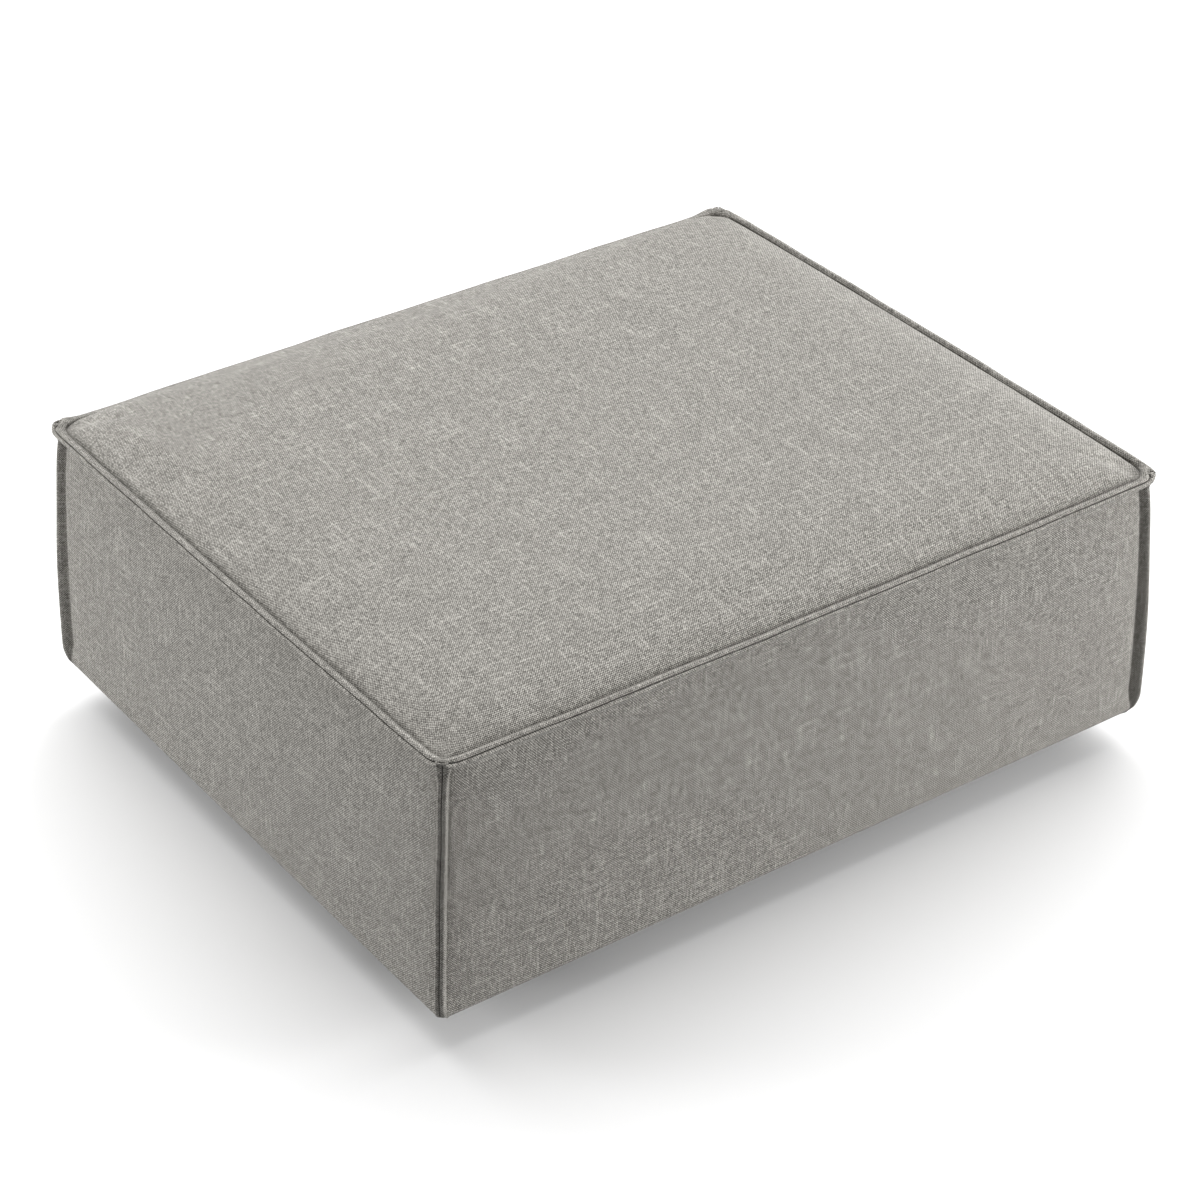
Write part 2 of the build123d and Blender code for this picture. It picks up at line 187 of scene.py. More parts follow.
def side_points(side, share, half_length, half_depth, bow, radius):
    """Points of one side of a bowed outline with round corners, and their outward directions.

    The share runs from -1 to 1 between the middles of the two corners.
    """
    along, out = directions(side)
    half_along = pick(side, half_length, half_depth)
    half_out = pick(side, half_depth, half_length)
    straight = half_along - bow - radius
    place = share * (straight + radius * pi / 4)
    beyond = np.clip(np.abs(place) - straight, 0, None) / radius
    turned = beyond > 0
    sign = np.sign(place)
    a = np.where(turned, sign * (straight + radius * np.sin(beyond)), place)
    o = np.where(
        turned,
        half_out - bow - radius * (1 - np.cos(beyond)),
        half_out - bow * (place / straight) ** 2,
    )
    facing_a = np.where(turned, sign * np.sin(beyond), 2 * bow * place / straight**2)
    facing_o = np.where(turned, np.cos(beyond), 1.0)
    size = np.hypot(facing_a, facing_o)
    points = a[..., None] * along + o[..., None] * out
    facing = (facing_a / size)[..., None] * along + (facing_o / size)[..., None] * out
    return points, facing


def share_beside_corner(lateral, half_along, bow, radius):
    """The share at which an outline is a given distance to the side of the mitre."""
    reach = radius * sin(pi / 4)
    back = np.where(
        lateral < reach,
        radius * np.arcsin(np.clip(lateral / radius, 0, 1)),
        radius * pi / 4 + (lateral - reach) / sin(pi / 4),
    )
    return 1 - back / (half_along - bow - radius + radius * pi / 4)


def crown_height(drawn_in):
    """Rise of the slow crown at a distance in from the seam."""
    s = sizes()
    return s.crown * (1 - (1 - np.clip(drawn_in / s.crown_reach, 0, 1)) ** 2)


def crown_radius(drawn_in, start):
    """Corner radius of the crown's outlines, which grow rounder inwards."""
    s = sizes()
    limit = 0.8 * (s.seam_depth / 2 - drawn_in)
    return np.minimum(start + (1.8 + (s.seam_radius - start) / s.shoulder_width) * drawn_in, limit)


def flange(stand, rise):
    """Offset out and up from the seam of a point of the tilted flange."""
    tilt = sizes().lip_tilt
    return stand * cos(tilt) - rise * sin(tilt), stand * sin(tilt) + rise * cos(tilt)


def drawn_in_beside(distance):
    """How far the cover is drawn in at a distance from a corner seam."""
    s = sizes()
    return s.valley * np.exp(-distance / s.valley_width)


def slackness(side, share):
    """How much a corner's seam is pulled in and stood up: less at the front left than elsewhere."""
    near_corner = {"front": -1, "left": 1}.get(side)
    return np.where(np.sign(share) == near_corner, 0.45, 1.0)


def pulled_corner(distance, slack):
    """How far the top seam is pulled in beside its corners."""
    return sizes().corner_pull * slack * np.exp(-((distance / 0.014) ** 2))


def corner_dip(distance, inward):
    """How much lower the crown lies behind the flange's corners, as a share of its rise."""
    return 0.32 * np.exp(-distance / 0.040) * exp(-((inward / 0.025) ** 2))


def laid_flange(side, out, up, distance, slack):
    """Offsets of a point of the flange, laid over along its side and pressed at the corners."""
    corner_turn, corner_width = radians(31), 0.012
    lean_start, lean_width, full_reach = 0.004, 0.045, 0.006
    tilt = sizes().lip_tilt
    stand, rise = out * cos(tilt) + up * sin(tilt), up * cos(tilt) - out * sin(tilt)
    window = np.clip((distance - lean_start) / lean_width, 0, 1)
    beside = np.exp(-((distance / corner_width) ** 2))
    lean = radians(LEANS[side]) * window * window * (3 - 2 * window)
    reach = np.clip(np.hypot(out, up) / full_reach, 0, 1) * (np.asarray(out) > 0)
    angle = tilt - (lean - corner_turn * slack * beside) * reach
    pressed = np.where(rise < 0, 0.62, 0.30)
    rise = rise * (1 - pressed * beside * reach)
    cosine, sine = np.cos(angle), np.sin(angle)
    return stand * cosine - rise * sine, stand * sine + rise * cosine


def lip_profile(width, thick, start):
    """One lip from its outer face, over its folded edge, to its mating face.

    Each point is the stand from the root and the height over the mating face.
    """
    shape = [
        (start, 1.00), (0.45, 1.03), (0.62, 1.05), (0.78, 1.00), (0.885, 0.92), (0.955, 0.80),
        (0.990, 0.64), (0.976, 0.50), (0.990, 0.34), (0.978, 0.18), (0.940, 0.07), (0.84, 0.015),
        (0.45, 0.0), (0.0, 0.0),
    ]
    return [(at * width, up * thick) for at, up in shape]


def lip_waves(number, place, distance, lip_share):
    """How a side's top flange waves up and down, and how its width changes."""
    calm = 1 - np.exp(-((distance / 0.05) ** 2))
    wave = sizes().wave * gentle(place, 0.21, number + 1) * calm * lip_share
    return wave, 0.00045 * gentle(place, 0.083, number + 5) * calm * lip_share


def graded(count, ease):
    """Numbers from -1 to 1 that crowd towards both ends."""
    even = np.linspace(-1, 1, count)
    return (1 - ease) * even + ease * np.sin(even * pi / 2)


def gentle(place, wavelength, seed):
    """A smooth, uneven wave from -1 to 1."""
    return (
        0.55 * np.sin(2 * pi * place / wavelength + 1.7 * seed)
        + 0.28 * np.sin(2 * pi * place / (0.61 * wavelength) + 2.9 * seed + 0.6)
        + 0.17 * np.sin(2 * pi * place / (1.73 * wavelength) + 4.1 * seed + 1.1)
    )


# Meshes


def add_object(name, data):
    """A new object in the scene."""
    made = bpy.data.objects.new(name, data)
    bpy.context.scene.collection.objects.link(made)
    return made


def add_mesh(name, points, faces, uv=None, smooth=True):
    """A mesh object from its points, faces and a flat fabric place for each point."""
    mesh = bpy.data.meshes.new(name)
    mesh.from_pydata(np.asarray(points, float).tolist(), [], [tuple(map(int, f)) for f in faces])
    if uv is not None:
        corner = np.empty(len(mesh.loops), np.int32)
        mesh.loops.foreach_get("vertex_index", corner)
        layer = mesh.uv_layers.new(name="fabric")
        layer.data.foreach_set("uv", np.asarray(uv, np.float32)[corner].ravel())
    mesh.polygons.foreach_set("use_smooth", [smooth] * len(mesh.polygons))
    mesh.validate()
    mesh.update()
    return add_object(name, mesh)


def quads(index):
    """The faces between the points of a grid of point numbers."""
    corners = [index[:-1, :-1], index[:-1, 1:], index[1:, 1:], index[1:, :-1]]
    return np.stack(corners, -1).reshape(-1, 4)


def grid_faces(rows, columns, start=0, ring=False):
    """Quads of a grid whose rows may close into rings."""
    index = start + np.arange(rows * columns).reshape(rows, columns)
    return quads(np.concatenate([index, index[:, :1]], 1) if ring else index)


def closed_rings(name, rings, smooth=True):
    """A closed form from rings, with a flat face at both ends."""
    count = len(rings[0])
    last = (len(rings) - 1) * count
    faces = [tuple(face) for face in grid_faces(len(rings), count, ring=True)]
    faces += [tuple(range(last, last + count)), tuple(reversed(range(count)))]
    return add_mesh(name, np.concatenate(rings), faces, smooth=smooth)


def clean(piece):
    """Merges doubled points and turns every face outwards."""
    work = bmesh.new()
    work.from_mesh(piece.data)
    bmesh.ops.remove_doubles(work, verts=work.verts, dist=1e-6)
    bmesh.ops.dissolve_degenerate(work, edges=work.edges, dist=1e-7)
    bmesh.ops.recalc_face_normals(work, faces=work.faces)
    work.to_mesh(piece.data)
    work.free()
    return piece


def finish_with(piece, *materials):
    """Gives a piece its materials."""
    piece.data.materials.clear()
    for material in materials:
        piece.data.materials.append(material)
    return piece


def place_piece(piece, nodes=()):
    """Rides the piece on the body and hides the solids that it stands for."""
    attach(piece, BODY)
    if nodes:
        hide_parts(*nodes)
    return piece


def let_fabric_settle(pieces, most):
    """Lets the filling push each fabric piece out, between the edges that are held.

    Each piece has a vertex group named held. No point moves out further than most, and
    hardly any moves in, because the filling is there.
    """
    frames, deepest = 20, 0.0004
    scene = bpy.context.scene
    for piece in pieces:
        cloth = piece.modifiers.new("settle", "CLOTH")
        rules = cloth.settings
        rules.quality = 4
        rules.mass = 0.4
        rules.tension_stiffness = 12
        rules.compression_stiffness = 12
        rules.shear_stiffness = 6
        rules.bending_stiffness = 1.5
        rules.air_damping = 1.5
        rules.use_pressure = True
        rules.uniform_pressure_force = 4
        rules.shrink_min = -0.004
        rules.effector_weights.gravity = 0
        rules.vertex_group_mass = "held"
        rules.pin_stiffness = 1
        cloth.collision_settings.use_collision = False
        cloth.collision_settings.use_self_collision = False
        cloth.point_cache.frame_start = 1
        cloth.point_cache.frame_end = frames
    for number in range(1, frames + 1):
        scene.frame_set(number)
    graph = bpy.context.evaluated_depsgraph_get()
    for piece in pieces:
        count = len(piece.data.vertices) * 3
        before, after, facing = (np.empty(count, np.float32) for _ in range(3))
        piece.data.vertices.foreach_get("co", before)
        settled = piece.evaluated_get(graph)
        if len(settled.data.vertices) * 3 != count:
            raise RuntimeError(f"{piece.name} changed its points while it settled")
        settled.data.vertices.foreach_get("co", after)
        piece.data.vertices.foreach_get("normal", facing)
        facing = facing.reshape(-1, 3)
        rise = np.sum((after - before).reshape(-1, 3) * facing, axis=1, keepdims=True)
        limit = np.where(rise > 0, most, deepest)
        move = facing * limit * np.tanh(rise / limit)
        piece.modifiers.remove(piece.modifiers["settle"])
        piece.data.vertices.foreach_set("co", (before.reshape(-1, 3) + move).ravel())
        piece.data.update()
    scene.frame_set(1)


def hold(piece, weights):
    """Stores how firmly each point of a fabric piece is held while it settles."""
    group = piece.vertex_groups.new(name="held")
    for index, weight in enumerate(np.asarray(weights, float)):
        if weight > 0:
            group.add([index], float(weight), "REPLACE")


def apply_modifier(piece, modifier):
    """Applies one modifier to a piece."""
    with bpy.context.temp_override(object=piece, active_object=piece):
        bpy.ops.object.modifier_apply(modifier=modifier.name)


def thicken(piece, thickness):
    """Gives a sheet of fabric its thickness, inwards."""
    wall = piece.modifiers.new("wall", "SOLIDIFY")
    wall.thickness, wall.offset, wall.use_rim = thickness, -1, True
    apply_modifier(piece, wall)


def smooth_and_thicken(piece, thickness):
    """Smooths a fabric piece and gives it its thickness."""
    smooth = piece.modifiers.new("smooth", "SUBSURF")
    smooth.levels = smooth.render_levels = 1
    smooth.uv_smooth = "PRESERVE_BOUNDARIES"
    apply_modifier(piece, smooth)
    thicken(piece, thickness)


# Materials


class NodeTree:
    """A node tree whose nodes are added one after another."""

    def add(self, kind, inputs=None, **settings):
        """Adds a node, and sets or links its inputs."""
        made = self.tree.nodes.new(kind)
        for name, value in settings.items():
            setattr(made, name, value)
        for socket, value in (inputs or {}).items():
            self.put(made.inputs[socket], value)
        return made

    def node(self, kind, inputs=None, **settings):
        """The first output of a new node."""
        return self.add(kind, inputs, **settings).outputs[0]

    def put(self, socket, value):
        """Links an output to a socket, or sets the socket's own value."""
        if isinstance(value, bpy.types.NodeSocket):
            self.tree.links.new(value, socket)
        else:
            socket.default_value = value

    def sum(self, operation, first, second=0.0, third=0.0):
        """The result of a Math node."""
        return self.node("ShaderNodeMath", {0: first, 1: second, 2: third}, operation=operation)


class Finish(NodeTree):
    """A material with a surface shader."""

    def __init__(self, name, base, roughness, **settings):
        self.material = bpy.data.materials.new(name)
        self.material.use_nodes = True
        self.material.diffuse_color = (*base, 1)
        self.tree = self.material.node_tree
        self.shader = self.tree.nodes["Principled BSDF"]
        self.shader.inputs["Base Color"].default_value = (*base, 1)
        self.shader.inputs["Roughness"].default_value = roughness
        for socket, value in settings.items():
            self.shader.inputs[socket.replace("_", " ")].default_value = value

    def parts(self, place):
        """The three numbers of a place."""
        return self.add("ShaderNodeSeparateXYZ", {0: place}).outputs

    def paint(self, colour):
        """Sends a colour to the surface."""
        self.put(self.shader.inputs["Base Color"], colour)

    def roughen(self, value):
        """Sends a roughness to the surface."""
        self.put(self.shader.inputs["Roughness"], value)

    def scaled(self, place, scale):
        """The place stretched by a scale for each direction."""
        return self.node("ShaderNodeMapping", {"Vector": place, "Scale": scale})

    def noise(self, place, scale, detail=2.0, roughness=0.5, stretch=(1, 1, 1)):
        """A noise value over a place, stretched by direction."""
        vector = self.scaled(place, tuple(scale * s for s in stretch))
        return self.node(
            "ShaderNodeTexNoise",
            {"Vector": vector, "Scale": 1.0, "Detail": detail, "Roughness": roughness},
        )

    def between(self, value, low, high, start=0.0, end=1.0):
        """A value moved from one range to another."""
        return self.node(
            "ShaderNodeMapRange",
            {"Value": value, "From Min": low, "From Max": high, "To Min": start, "To Max": end},
        )

    def mix(self, share, first, second):
        """A colour between two colours."""
        first, second = ((*c, 1) if isinstance(c, tuple) else c for c in (first, second))
        made = self.add("ShaderNodeMix", data_type="RGBA")
        for number, value in ((0, share), (6, first), (7, second)):
            self.put(made.inputs[number], value)
        return made.outputs[2]

    def bump(self, height, strength, distance):
        """Sends a height to the surface's bump."""
        bump = self.node(
            "ShaderNodeBump", {"Height": height, "Strength": strength, "Distance": distance}
        )
        self.put(self.shader.inputs["Normal"], bump)

    def fabric_place(self):
        """The place on the flat fabric, in metres."""
        return self.node("ShaderNodeUVMap", uv_map="fabric")

    def object_place(self):
        """The place in the object, in metres."""
        return self.add("ShaderNodeTexCoord").outputs["Object"]


def made_once(name, maker, *values):
    """A material by name, made the first time that it is asked for."""
    found = bpy.data.materials.get(name)
    return found or maker(name, *values).material


def woven_cover(name):
    """Linen-look plain weave of uneven yarns, with slubs along both thread directions."""
    c = colours()
    base, dark, light = tuple(c.fabric), tuple(c.fabric_dark), tuple(c.fabric_light)
    f = Finish(name, base, 0.9, Sheen_Weight=0.12, Sheen_Roughness=0.5, Specular_IOR_Level=0.2)
    place = f.fabric_place()
    yarn = 0.0016
    counted = f.scaled(place, (1 / yarn, 1 / yarn, 0))
    crossing = f.node("ShaderNodeVectorMath", {0: counted}, operation="FLOOR")
    chance = f.node("ShaderNodeTexWhiteNoise", {"Vector": crossing}, noise_dimensions="2D")
    across, down, _ = f.parts(counted)
    warp = f.sum("SINE", f.sum("MULTIPLY", across, pi))
    weft = f.sum("SINE", f.sum("MULTIPLY", down, pi))
    cross = f.sum("MULTIPLY", warp, weft)
    warp_slub = f.between(f.noise(place, 1, 2, 0.6, (560, 75, 1)), 0.3, 0.7)
    weft_slub = f.between(f.noise(place, 1, 2, 0.6, (75, 560, 1)), 0.3, 0.7)
    warp_line = f.between(f.noise(place, 1, 1, 0.5, (300, 14, 1)), 0.55, 0.74)
    weft_line = f.between(f.noise(place, 1, 1, 0.5, (14, 300, 1)), 0.55, 0.74)
    fuzz = f.noise(place, 420, 3, 0.7)
    threads = f.sum("ADD", warp_slub, weft_slub)
    tone = f.sum("MULTIPLY_ADD", chance, 0.22, f.sum("MULTIPLY", threads, 0.14))
    tone = f.sum("MULTIPLY_ADD", f.between(fuzz, 0.3, 0.7), 0.12, tone)
    tone = f.sum("MULTIPLY_ADD", cross, 0.26, tone)
    tone = f.sum("MULTIPLY_ADD", warp_line, 0.10, f.sum("MULTIPLY_ADD", weft_line, 0.09, tone))
    tone = f.between(tone, 0.07, 0.63)
    lower = f.mix(f.between(tone, 0.0, 0.5), dark, base)
    f.paint(f.mix(f.between(tone, 0.5, 1.0), lower, light))
    height = f.sum("MULTIPLY_ADD", cross, 0.4, f.sum("MULTIPLY", threads, 0.4))
    height = f.sum("MULTIPLY_ADD", chance, 0.6, f.sum("MULTIPLY_ADD", fuzz, 0.6, height))
    f.bump(height, 0.6, 0.0008)
    return f


def sewing_thread(name):
    """Twisted thread, a little darker than the fabric."""
    f = Finish(name, tuple(colours().thread), 0.7, Sheen_Weight=0.2)
    place = f.object_place()
    twist = f.noise(place, 2200, 1)
    tone = f.mix(f.between(twist, 0.3, 0.7), (0.24, 0.23, 0.21), (0.36, 0.35, 0.33))
    f.paint(tone)
    f.bump(twist, 0.4, 0.0002)
    return f


def open_foam(name):
    """Open-cell foam."""
    f = Finish(name, (0.80, 0.74, 0.50), 0.95)
    place = f.object_place()
    cells = f.node("ShaderNodeTexVoronoi", {"Vector": place, "Scale": 900.0})
    stain = f.noise(place, 9, 3)
    tone = f.mix(f.between(stain, 0.3, 0.7), (0.76, 0.69, 0.44), (0.86, 0.81, 0.60))
    f.paint(f.mix(f.between(cells, 0.0, 0.6), (0.55, 0.49, 0.30), tone))
    f.bump(cells, 0.6, 0.0006)
    return f


def fibre_wadding(name):
    """Soft white polyester fibre."""
    f = Finish(name, (0.86, 0.86, 0.84), 1.0, Sheen_Weight=0.4)
    place = f.object_place()
    tufts = f.noise(place, 60, 5, 0.65)
    hairs = f.noise(place, 380, 4, 0.7)
    f.paint(f.mix(tufts, (0.78, 0.78, 0.76), (0.92, 0.92, 0.90)))
    f.bump(f.sum("ADD", tufts, f.sum("MULTIPLY", hairs, 0.5)), 0.7, 0.004)
    return f


def needled_felt(name, dark, light):
    """Needled felt of mixed fibres."""
    f = Finish(name, dark, 0.97, Sheen_Weight=0.3)
    place = f.object_place()
    fibres = f.noise(place, 420, 5, 0.75)
    clumps = f.noise(place, 45, 3)
    tone = f.sum("MULTIPLY_ADD", fibres, 0.7, f.sum("MULTIPLY", clumps, 0.3))
    f.paint(f.mix(f.between(tone, 0.35, 0.65), dark, light))
    f.bump(fibres, 0.6, 0.0008)
    return f


def planed_timber(name, direction):
    """Planed softwood with its grain along one direction."""
    f = Finish(name, (0.62, 0.46, 0.29), 0.6)
    place = f.object_place()
    stretch = [14.0, 14.0, 14.0]
    stretch["XYZ".index(direction)] = 0.9
    rings = f.noise(place, 1, 3, 0.55, tuple(stretch))
    lines = f.sum("SINE", f.sum("MULTIPLY", rings, 46.0))
    fine = f.noise(place, 14, 4, 0.6, tuple(stretch))
    tone = f.sum("MULTIPLY_ADD", f.between(lines, -1, 1), 0.5, f.sum("MULTIPLY", fine, 0.5))
    f.paint(f.mix(tone, (0.50, 0.33, 0.18), (0.73, 0.57, 0.38)))
    f.roughen(f.between(fine, 0.3, 0.7, 0.5, 0.75))
    f.bump(tone, 0.35, 0.0006)
    return f


def layered_plywood(name):
    """Birch plywood with its layers one over another."""
    f = Finish(name, (0.68, 0.54, 0.36), 0.6)
    place = f.object_place()
    layers = f.sum("SINE", f.sum("MULTIPLY", f.parts(place)[2], 2 * pi / 0.0026))
    grain = f.noise(place, 1, 4, 0.6, (9, 140, 60))
    face = f.mix(grain, (0.60, 0.45, 0.28), (0.78, 0.64, 0.46))
    f.paint(f.mix(f.between(layers, 0.2, 0.5, 0, 0.5), face, (0.38, 0.25, 0.14)))
    f.bump(f.sum("MULTIPLY_ADD", layers, 0.3, grain), 0.3, 0.0004)
    return f


def pressed_board(name):
    """Brown hardboard of pressed fibres."""
    f = Finish(name, (0.30, 0.19, 0.11), 0.55)
    place = f.object_place()
    fibres = f.noise(place, 300, 5, 0.7)
    cloud = f.noise(place, 12, 3)
    tone = f.sum("MULTIPLY_ADD", fibres, 0.7, f.sum("MULTIPLY", cloud, 0.3))
    f.paint(f.mix(f.between(tone, 0.3, 0.7), (0.22, 0.13, 0.07), (0.40, 0.27, 0.16)))
    f.bump(fibres, 0.3, 0.0003)
    return f


def elastic_webbing(name):
    """Black elastic webbing with a rib pattern and two grey lines."""
    f = Finish(name, (0.045, 0.045, 0.048), 0.8, Sheen_Weight=0.2)
    run, width, _ = f.parts(f.fabric_place())
    ribs = f.sum("SINE", f.sum("MULTIPLY", run, 2 * pi / 0.0024))
    cords = f.sum("SINE", f.sum("MULTIPLY", width, 2 * pi / 0.0032))
    line = f.sum("COMPARE", f.sum("ABSOLUTE", width), 0.022, 0.0016)
    weave = f.sum("MULTIPLY", ribs, cords)
    tone = f.mix(f.between(weave, -1, 1), (0.030, 0.030, 0.032), (0.070, 0.070, 0.074))
    f.paint(f.mix(f.sum("MULTIPLY", line, 0.85), tone, (0.34, 0.33, 0.31)))
    f.bump(f.sum("ADD", weave, cords), 0.6, 0.0004)
    return f


def non_woven(name):
    """Black bonded dust cloth with a fine dot pattern."""
    f = Finish(name, (0.022, 0.022, 0.024), 0.9, Sheen_Weight=0.15)
    place = f.object_place()
    grid = f.scaled(place, (420, 420, 0))
    dots = f.node("ShaderNodeTexVoronoi", {"Vector": grid, "Scale": 1.0, "Randomness": 0.15})
    fibres = f.noise(place, 350, 5, 0.75, (1, 1, 0.2))
    tone = f.mix(f.between(fibres, 0.35, 0.7), (0.014, 0.014, 0.015), (0.050, 0.050, 0.053))
    f.paint(tone)
    f.bump(f.sum("MULTIPLY_ADD", f.between(dots, 0.1, 0.35), 0.6, fibres), 0.5, 0.0003)
    return f


def zinc_steel(name):
    """Zinc-plated steel with a light, uneven brush."""
    f = Finish(name, (0.60, 0.60, 0.58), 0.34, Metallic=1.0)
    place = f.object_place()
    brush = f.noise(place, 1, 4, 0.6, (90, 900, 90))
    spangle = f.noise(place, 130, 3)
    f.roughen(f.between(brush, 0.3, 0.7, 0.26, 0.48))
    f.paint(f.mix(spangle, (0.50, 0.50, 0.49), (0.70, 0.70, 0.67)))
    f.bump(brush, 0.15, 0.0002)
    return f


def moulded_plastic(name):
    """Black moulded plastic with a fine, eroded surface."""
    f = Finish(name, (0.022, 0.022, 0.024), 0.45)
    place = f.object_place()
    pits = f.noise(place, 900, 2)
    scuff = f.noise(place, 40, 4, 0.65)
    f.paint(f.mix(scuff, (0.018, 0.018, 0.020), (0.032, 0.032, 0.035)))
    f.roughen(f.between(scuff, 0.3, 0.7, 0.38, 0.58))
    f.bump(pits, 0.35, 0.0002)
    return f


# Geometry Nodes


class NodeShape(NodeTree):
    """A Geometry Nodes tree that is run once on a carrier object and becomes a plain mesh."""

    def __init__(self, name):
        self.name = name
        self.tree = bpy.data.node_groups.new(name, "GeometryNodeTree")
        for way in ("INPUT", "OUTPUT"):
            self.tree.interface.new_socket(
                "Geometry", in_out=way, socket_type="NodeSocketGeometry"
            )
        self.values = {}
        self.start, self.end = self.add("NodeGroupInput"), self.add("NodeGroupOutput")

    def size(self, name, value, kind="NodeSocketFloat"):
        """A named input with its value."""
        made = self.tree.interface.new_socket(name, in_out="INPUT", socket_type=kind)
        self.values[made.identifier] = value
        return self.start.outputs[name]

    def run(self, geometry, material, carrier=None):
        """Ends the tree, evaluates it and returns the plain mesh object."""
        whole = self.node("GeometryNodeRealizeInstances", {0: geometry})
        coloured = self.node(
            "GeometryNodeSetMaterial", {"Geometry": whole, "Material": material}
        )
        self.put(self.end.inputs[0], coloured)
        if carrier is None:
            carrier = add_mesh(self.name + "_carrier", [(0, 0, 0)], [])
        modifier = carrier.modifiers.new("shape", "NODES")
        modifier.node_group = self.tree
        for identifier, value in self.values.items():
            modifier[identifier] = value
        graph = bpy.context.evaluated_depsgraph_get()
        mesh = bpy.data.meshes.new_from_object(carrier.evaluated_get(graph), depsgraph=graph)
        mesh.name = self.name
        if not mesh.materials:
            mesh.materials.append(material)
        bpy.data.objects.remove(carrier)
        return add_object(self.name, mesh)


def path_carrier(name, runs):
    """A carrier of open or closed lines, each with an up direction stored for its points."""
    points, edges, ups = [], [], []
    for line, up, closed in runs:
        start = len(points)
        points += [tuple(p) for p in line]
        ups += [tuple(u) for u in up]
        edges += [(start + i, start + i + 1) for i in range(len(line) - 1)]
        if closed:
            edges.append((start + len(line) - 1, start))
    mesh = bpy.data.meshes.new(name)
    mesh.from_pydata(points, edges, [])
    mesh.attributes.new("up", "FLOAT_VECTOR", "POINT").data.foreach_set("vector", np.ravel(ups))
    return add_object(name, mesh)


def repeat_on_path(name, runs, unit, pitch, material, turn_seed=0, unevenness=0.0):
    """Repeats a small shape along lines, with its X along the line and its Z along up."""
    shape = NodeShape(name)
    spacing = shape.size("Spacing", pitch)
    uneven = shape.size("Unevenness", unevenness)
    seed = shape.size("Seed", turn_seed, "NodeSocketInt")
    lines = shape.node("GeometryNodeMeshToCurve", {"Mesh": shape.start.outputs[0]})
    even = shape.node(
        "GeometryNodeResampleCurve", {"Curve": lines, "Length": spacing}, mode="LENGTH"
    )
    up = shape.node("GeometryNodeInputNamedAttribute", {"Name": "up"}, data_type="FLOAT_VECTOR")
    tangent = shape.node("GeometryNodeInputTangent")
    along = shape.node(
        "FunctionNodeAxesToRotation",
        {"Primary Axis": tangent, "Secondary Axis": up},
        primary_axis="X", secondary_axis="Z",
    )
    chance = shape.add("FunctionNodeRandomValue", {"Seed": seed}, data_type="FLOAT_VECTOR")
    for number, sign in enumerate((-1, 1)):
        limit = shape.node(
            "ShaderNodeVectorMath", {0: (sign,) * 3, "Scale": uneven}, operation="SCALE"
        )
        shape.put(chance.inputs[number], limit)
    wobble = shape.node("FunctionNodeEulerToRotation", {0: chance.outputs[0]})
    turned = shape.node(
        "FunctionNodeRotateRotation", {0: along, 1: wobble}, rotation_space="LOCAL"
    )
    source = shape.add("GeometryNodeObjectInfo", {"Object": unit}).outputs["Geometry"]
    placed = shape.node(
        "GeometryNodeInstanceOnPoints",
        {"Points": even, "Instance": source, "Rotation": turned},
    )
    made = shape.run(placed, material, path_carrier(name + "_lines", runs))
    bpy.data.objects.remove(unit)
    return made


# Cover


def crown_rings():
    """Distance in and rise of the top panel's rings, from its crease to the slow crown."""
    s = sizes()
    turns = np.radians([10.5, 14, 19, 25, 32, 40, 49, 58, 67, 76, 84])
    rings = [(s.shoulder_width * (1 - cos(t)), s.shoulder_height * sin(t)) for t in turns]
    return rings + [(s.shoulder_width * k, s.shoulder_height) for k in (1.0, 1.14, 1.3, 1.5)]


def top_shares(half_along):
    """Shares along one side of the top, crowded towards the corners."""
    near = [
        0, 0.0012, 0.0025, 0.004, 0.0057, 0.0076, 0.010,
        0.013, 0.0168, 0.0215, 0.0275, 0.035, 0.044,
    ]
    spacing = 0.0205
    rest = half_along - near[-1]
    count = int(round(rest / spacing))
    back = np.concatenate([near, near[-1] + rest * np.arange(1, count + 1) / count])
    share = 1 - back / half_along
    return np.concatenate([-share, share[-2::-1]])


def top_ring(out, up, half_length, half_depth, radius, shares, lip_share=0.0):
    """One closed ring of the top panel, set out and up, with its fabric direction."""
    s = sizes()
    points, facing = [], []
    for number, side in enumerate(SIDES):
        share = shares[number][:-1]
        half = pick(side, half_length, half_depth)
        distance = (1 - np.abs(share)) * half
        wave, breadth = lip_waves(number, share * half, distance, lip_share)
        slack = slackness(side, share)
        inward = max(-out, 0.0)
        stands, lifts = out, up * (1 - corner_dip(distance, inward))
        if lip_share:
            stands, lifts = laid_flange(side, out, up, distance, slack)
        pulled = stands + breadth - pulled_corner(distance, slack) * exp(-inward / 0.015)
        flat, face = side_points(
            side, share, half_length + pulled, half_depth + pulled, s.bow, radius
        )
        height = heights()[1] + lifts + wave
        points.append(np.column_stack([flat, np.broadcast_to(height, share.shape)]))
        facing.append(face)
    return np.concatenate(points), np.concatenate(facing)


def inner_height(places):
    """Height of the seat at places inside its rolled edge."""
    s = sizes()
    low = np.full(len(places), 0.03)
    high = np.full(len(places), s.seam_depth / 2 - 0.002)
    for _ in range(30):
        drawn_in = (low + high) / 2
        radius = crown_radius(drawn_in, s.crease_radius)
        far = np.abs(places) - np.column_stack(
            [s.seam_length / 2 - drawn_in - radius, s.seam_depth / 2 - drawn_in - radius]
        )
        beyond, within = np.clip(far, 0, None), np.clip(far.max(1), None, 0)
        outside = np.linalg.norm(beyond, axis=1) + within > radius
        low, high = np.where(outside, low, drawn_in), np.where(outside, drawn_in, high)
    drawn_in = (low + high) / 2
    return heights()[1] + s.shoulder_height + crown_height(drawn_in)


